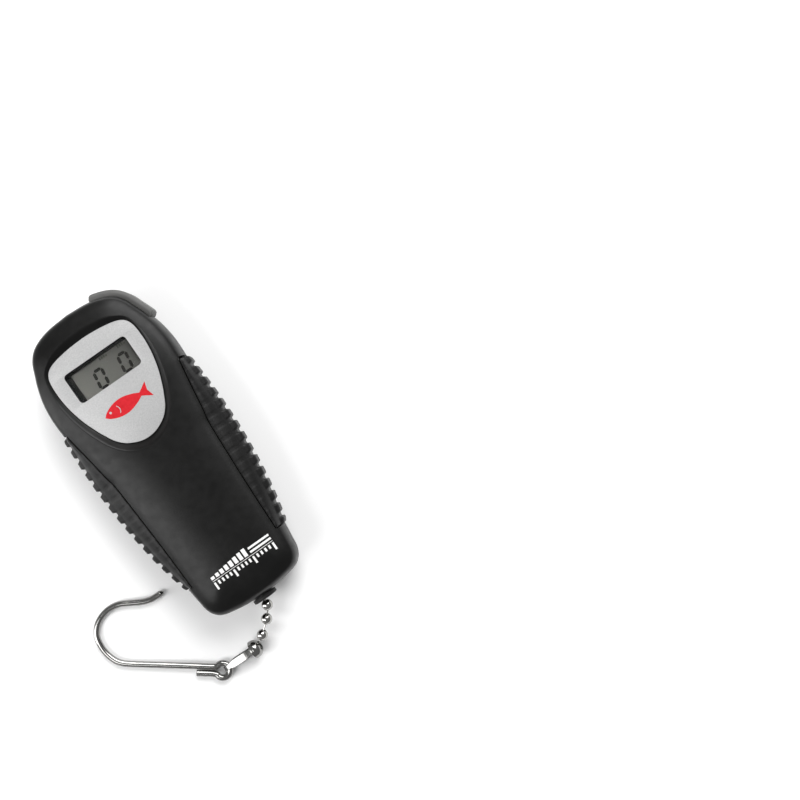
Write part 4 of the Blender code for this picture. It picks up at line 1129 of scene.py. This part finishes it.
def strip_path():
    """Middle line of the folded strip as (along, up, width), from the upper lip round."""
    half = [(1.5, 1.68, 1.2), (1.1, 1.96, 1.4), (0, 2.25, 2.2), (-0.9, 2.22, 2.3),
            (-4.6, STRIP_HALF_GAP, STRIP_WIDTH), (-8.8, STRIP_HALF_GAP, STRIP_WIDTH),
            (-STRIP_REACH + 0.6, STRIP_HALF_GAP, STRIP_BIGHT_WIDTH)]
    angles = [math.radians(degrees) for degrees in (60, 30, 0)]
    round_end = [(-STRIP_REACH - STRIP_BIGHT_REACH * math.cos(a), STRIP_HALF_GAP * math.sin(a),
                  STRIP_BIGHT_WIDTH) for a in angles]
    upper = half + round_end
    return upper + [(x, -z, width) for x, z, width in reversed(upper[:-1])]


def connector_strip(ball_centre, along):
    """Folded strip with softened long edges."""
    across = Vector((0, 0, 1)).cross(along).normalized()
    up = along.cross(across)
    path = smooth_curve(strip_path(), 5)
    last = len(path) - 1
    corners = [(1, 0.43), (0.5, 0.5), (-0.5, 0.5), (-1, 0.43), (-1, -0.43), (-0.5, -0.5),
               (0.5, -0.5), (1, -0.43)]
    sections = []
    for i, (x, z, width) in enumerate(path):
        before, after = path[max(i - 1, 0)], path[min(i + 1, last)]
        run = Vector((after[0] - before[0], after[1] - before[1])).normalized()
        thick = Vector((-run.y, run.x)) * STRIP_THICKNESS / 2
        sections.append([ball_centre + along * (x + thick.x * t) + up * (z + thick.y * t)
                         + across * (width * w) for t, w in corners])
    obj = add("strip", loft_mesh("strip", sections), STEEL, "connector", ["connector_strip"])
    smooth(obj, 22)


def hook_route():
    """Middle line of the hook's wire in its own plane, about the eye, from tail to tip."""
    shank = HOOK_SHANK_DIRECTION.normalized()
    side = Vector((shank.y, -shank.x))
    if side.y < 0:
        side.negate()
    neck = 3.6
    points = [shank * s - side * HOOK_SHANK_OFFSET for s in (HOOK_TAIL_LENGTH, 6.0, neck)]
    start = math.atan2(shank.y, shank.x)
    pinch = math.radians(EYE_PINCH_DEGREES)
    steps = 16
    for i in range(steps + 1):
        angle = start + pinch + (2 * math.pi - 2 * pinch) * i / steps
        points.append(Vector((math.cos(angle), math.sin(angle))) * EYE_RADIUS)
    points += [shank * s + side * HOOK_SHANK_OFFSET for s in (neck, 8.0, 14.0, 20.0, 26.0)]
    points += [Vector(p) for p in HOOK_BEND]
    return [Vector(p) for p in smooth_curve(points, 5)]


def hook(eye):
    """Bent wire with a blunt cut tail and a short conical point."""
    flat = hook_route()
    far = max(point.length for point in flat)
    lean = HOOK_LEAN * ((EYE_Z - WIRE_RADIUS - 0.02) / far)
    places = [Vector((*point, 0.0)) + eye - Vector((0, 0, point.dot(lean))) for point in flat]
    radii = [WIRE_RADIUS * 0.985] * len(places)
    tip_along = (places[-1] - places[-2]).normalized()
    end = places[-1]
    for back, share in ((1.5, 1.0), (1.1, 0.93), (0.6, 0.66), (0.2, 0.36), (0.0, 0.1)):
        places.append(end - tip_along * back)
        radii.append(WIRE_RADIUS * share)
    keep = [i for i, p in enumerate(places[:len(flat)]) if (p - end).length > 1.6]
    places = [places[i] for i in keep] + places[len(flat):]
    radii = [radii[i] for i in keep] + radii[len(flat):]
    tail_along = (places[1] - places[0]).normalized()
    places = [places[0], places[0] + tail_along * 0.18] + places[1:]
    radii = [WIRE_RADIUS * 0.82, WIRE_RADIUS * 0.985] + radii[1:]
    obj = add("hook_wire", tube_mesh("hook_wire", places, radii, 28), STEEL, "hook",
              ["fish_hook"])
    smooth(obj, 40)


def chain_and_hook():
    last_ball = chain()
    along = heading_vector(90, 0)
    wire = last_ball + along * STRIP_REACH
    wire.z = EYE_Z
    axis = (last_ball - wire).normalized()
    connector_bell(last_ball, axis)
    connector_strip(last_ball, axis)
    hook(wire + along * EYE_RADIUS)


# -------- floor, light, camera

def area_light(name, place, target, size, power):
    data = bpy.data.lights.new(name, "AREA")
    data.shape = "RECTANGLE"
    data.size, data.size_y = size
    data.energy = power
    obj = bpy.data.objects.new(name, data)
    obj.location = place
    obj.rotation_euler = (Vector(target) - Vector(place)).to_track_quat("-Z", "Y").to_euler()
    bpy.context.scene.collection.objects.link(obj)


def studio():
    bm = bmesh.new()
    bmesh.ops.create_grid(bm, x_segments=1, y_segments=1, size=3000)
    floor = add("floor", mesh_of("floor", bm), floor_white())
    floor.location.z = -0.00002
    world = bpy.data.worlds.new("studio")
    bpy.context.scene.world = world
    world.use_nodes = True
    backdrop = world.node_tree.nodes["Background"]
    backdrop.inputs["Color"].default_value = (1.0, 1.0, 1.0, 1.0)
    backdrop.inputs["Strength"].default_value = WORLD_STRENGTH
    for light in LIGHTS:
        area_light(*light)
    bpy.context.scene.view_settings.view_transform = "Standard"


def camera():
    data = bpy.data.cameras.new("camera")
    data.lens = CAMERA_LENS
    data.sensor_width = 36
    obj = bpy.data.objects.new("camera", data)
    obj.location = Vector(CAMERA_PLACE) * MM
    obj.rotation_euler = (0, 0, math.radians(CAMERA_TURN_DEGREES))
    bpy.context.scene.collection.objects.link(obj)
    bpy.context.scene.camera = obj


camera()
studio()
finish_cad_nodes()
front_case()
rear_case()
door()
side_grip("grip_right", 1, "side_grip_right")
side_grip("grip_left", -1, "side_grip_left")
button()
bush()
label()
display()
display_marks()
fish_mark()
case_print()
chain_and_hook()
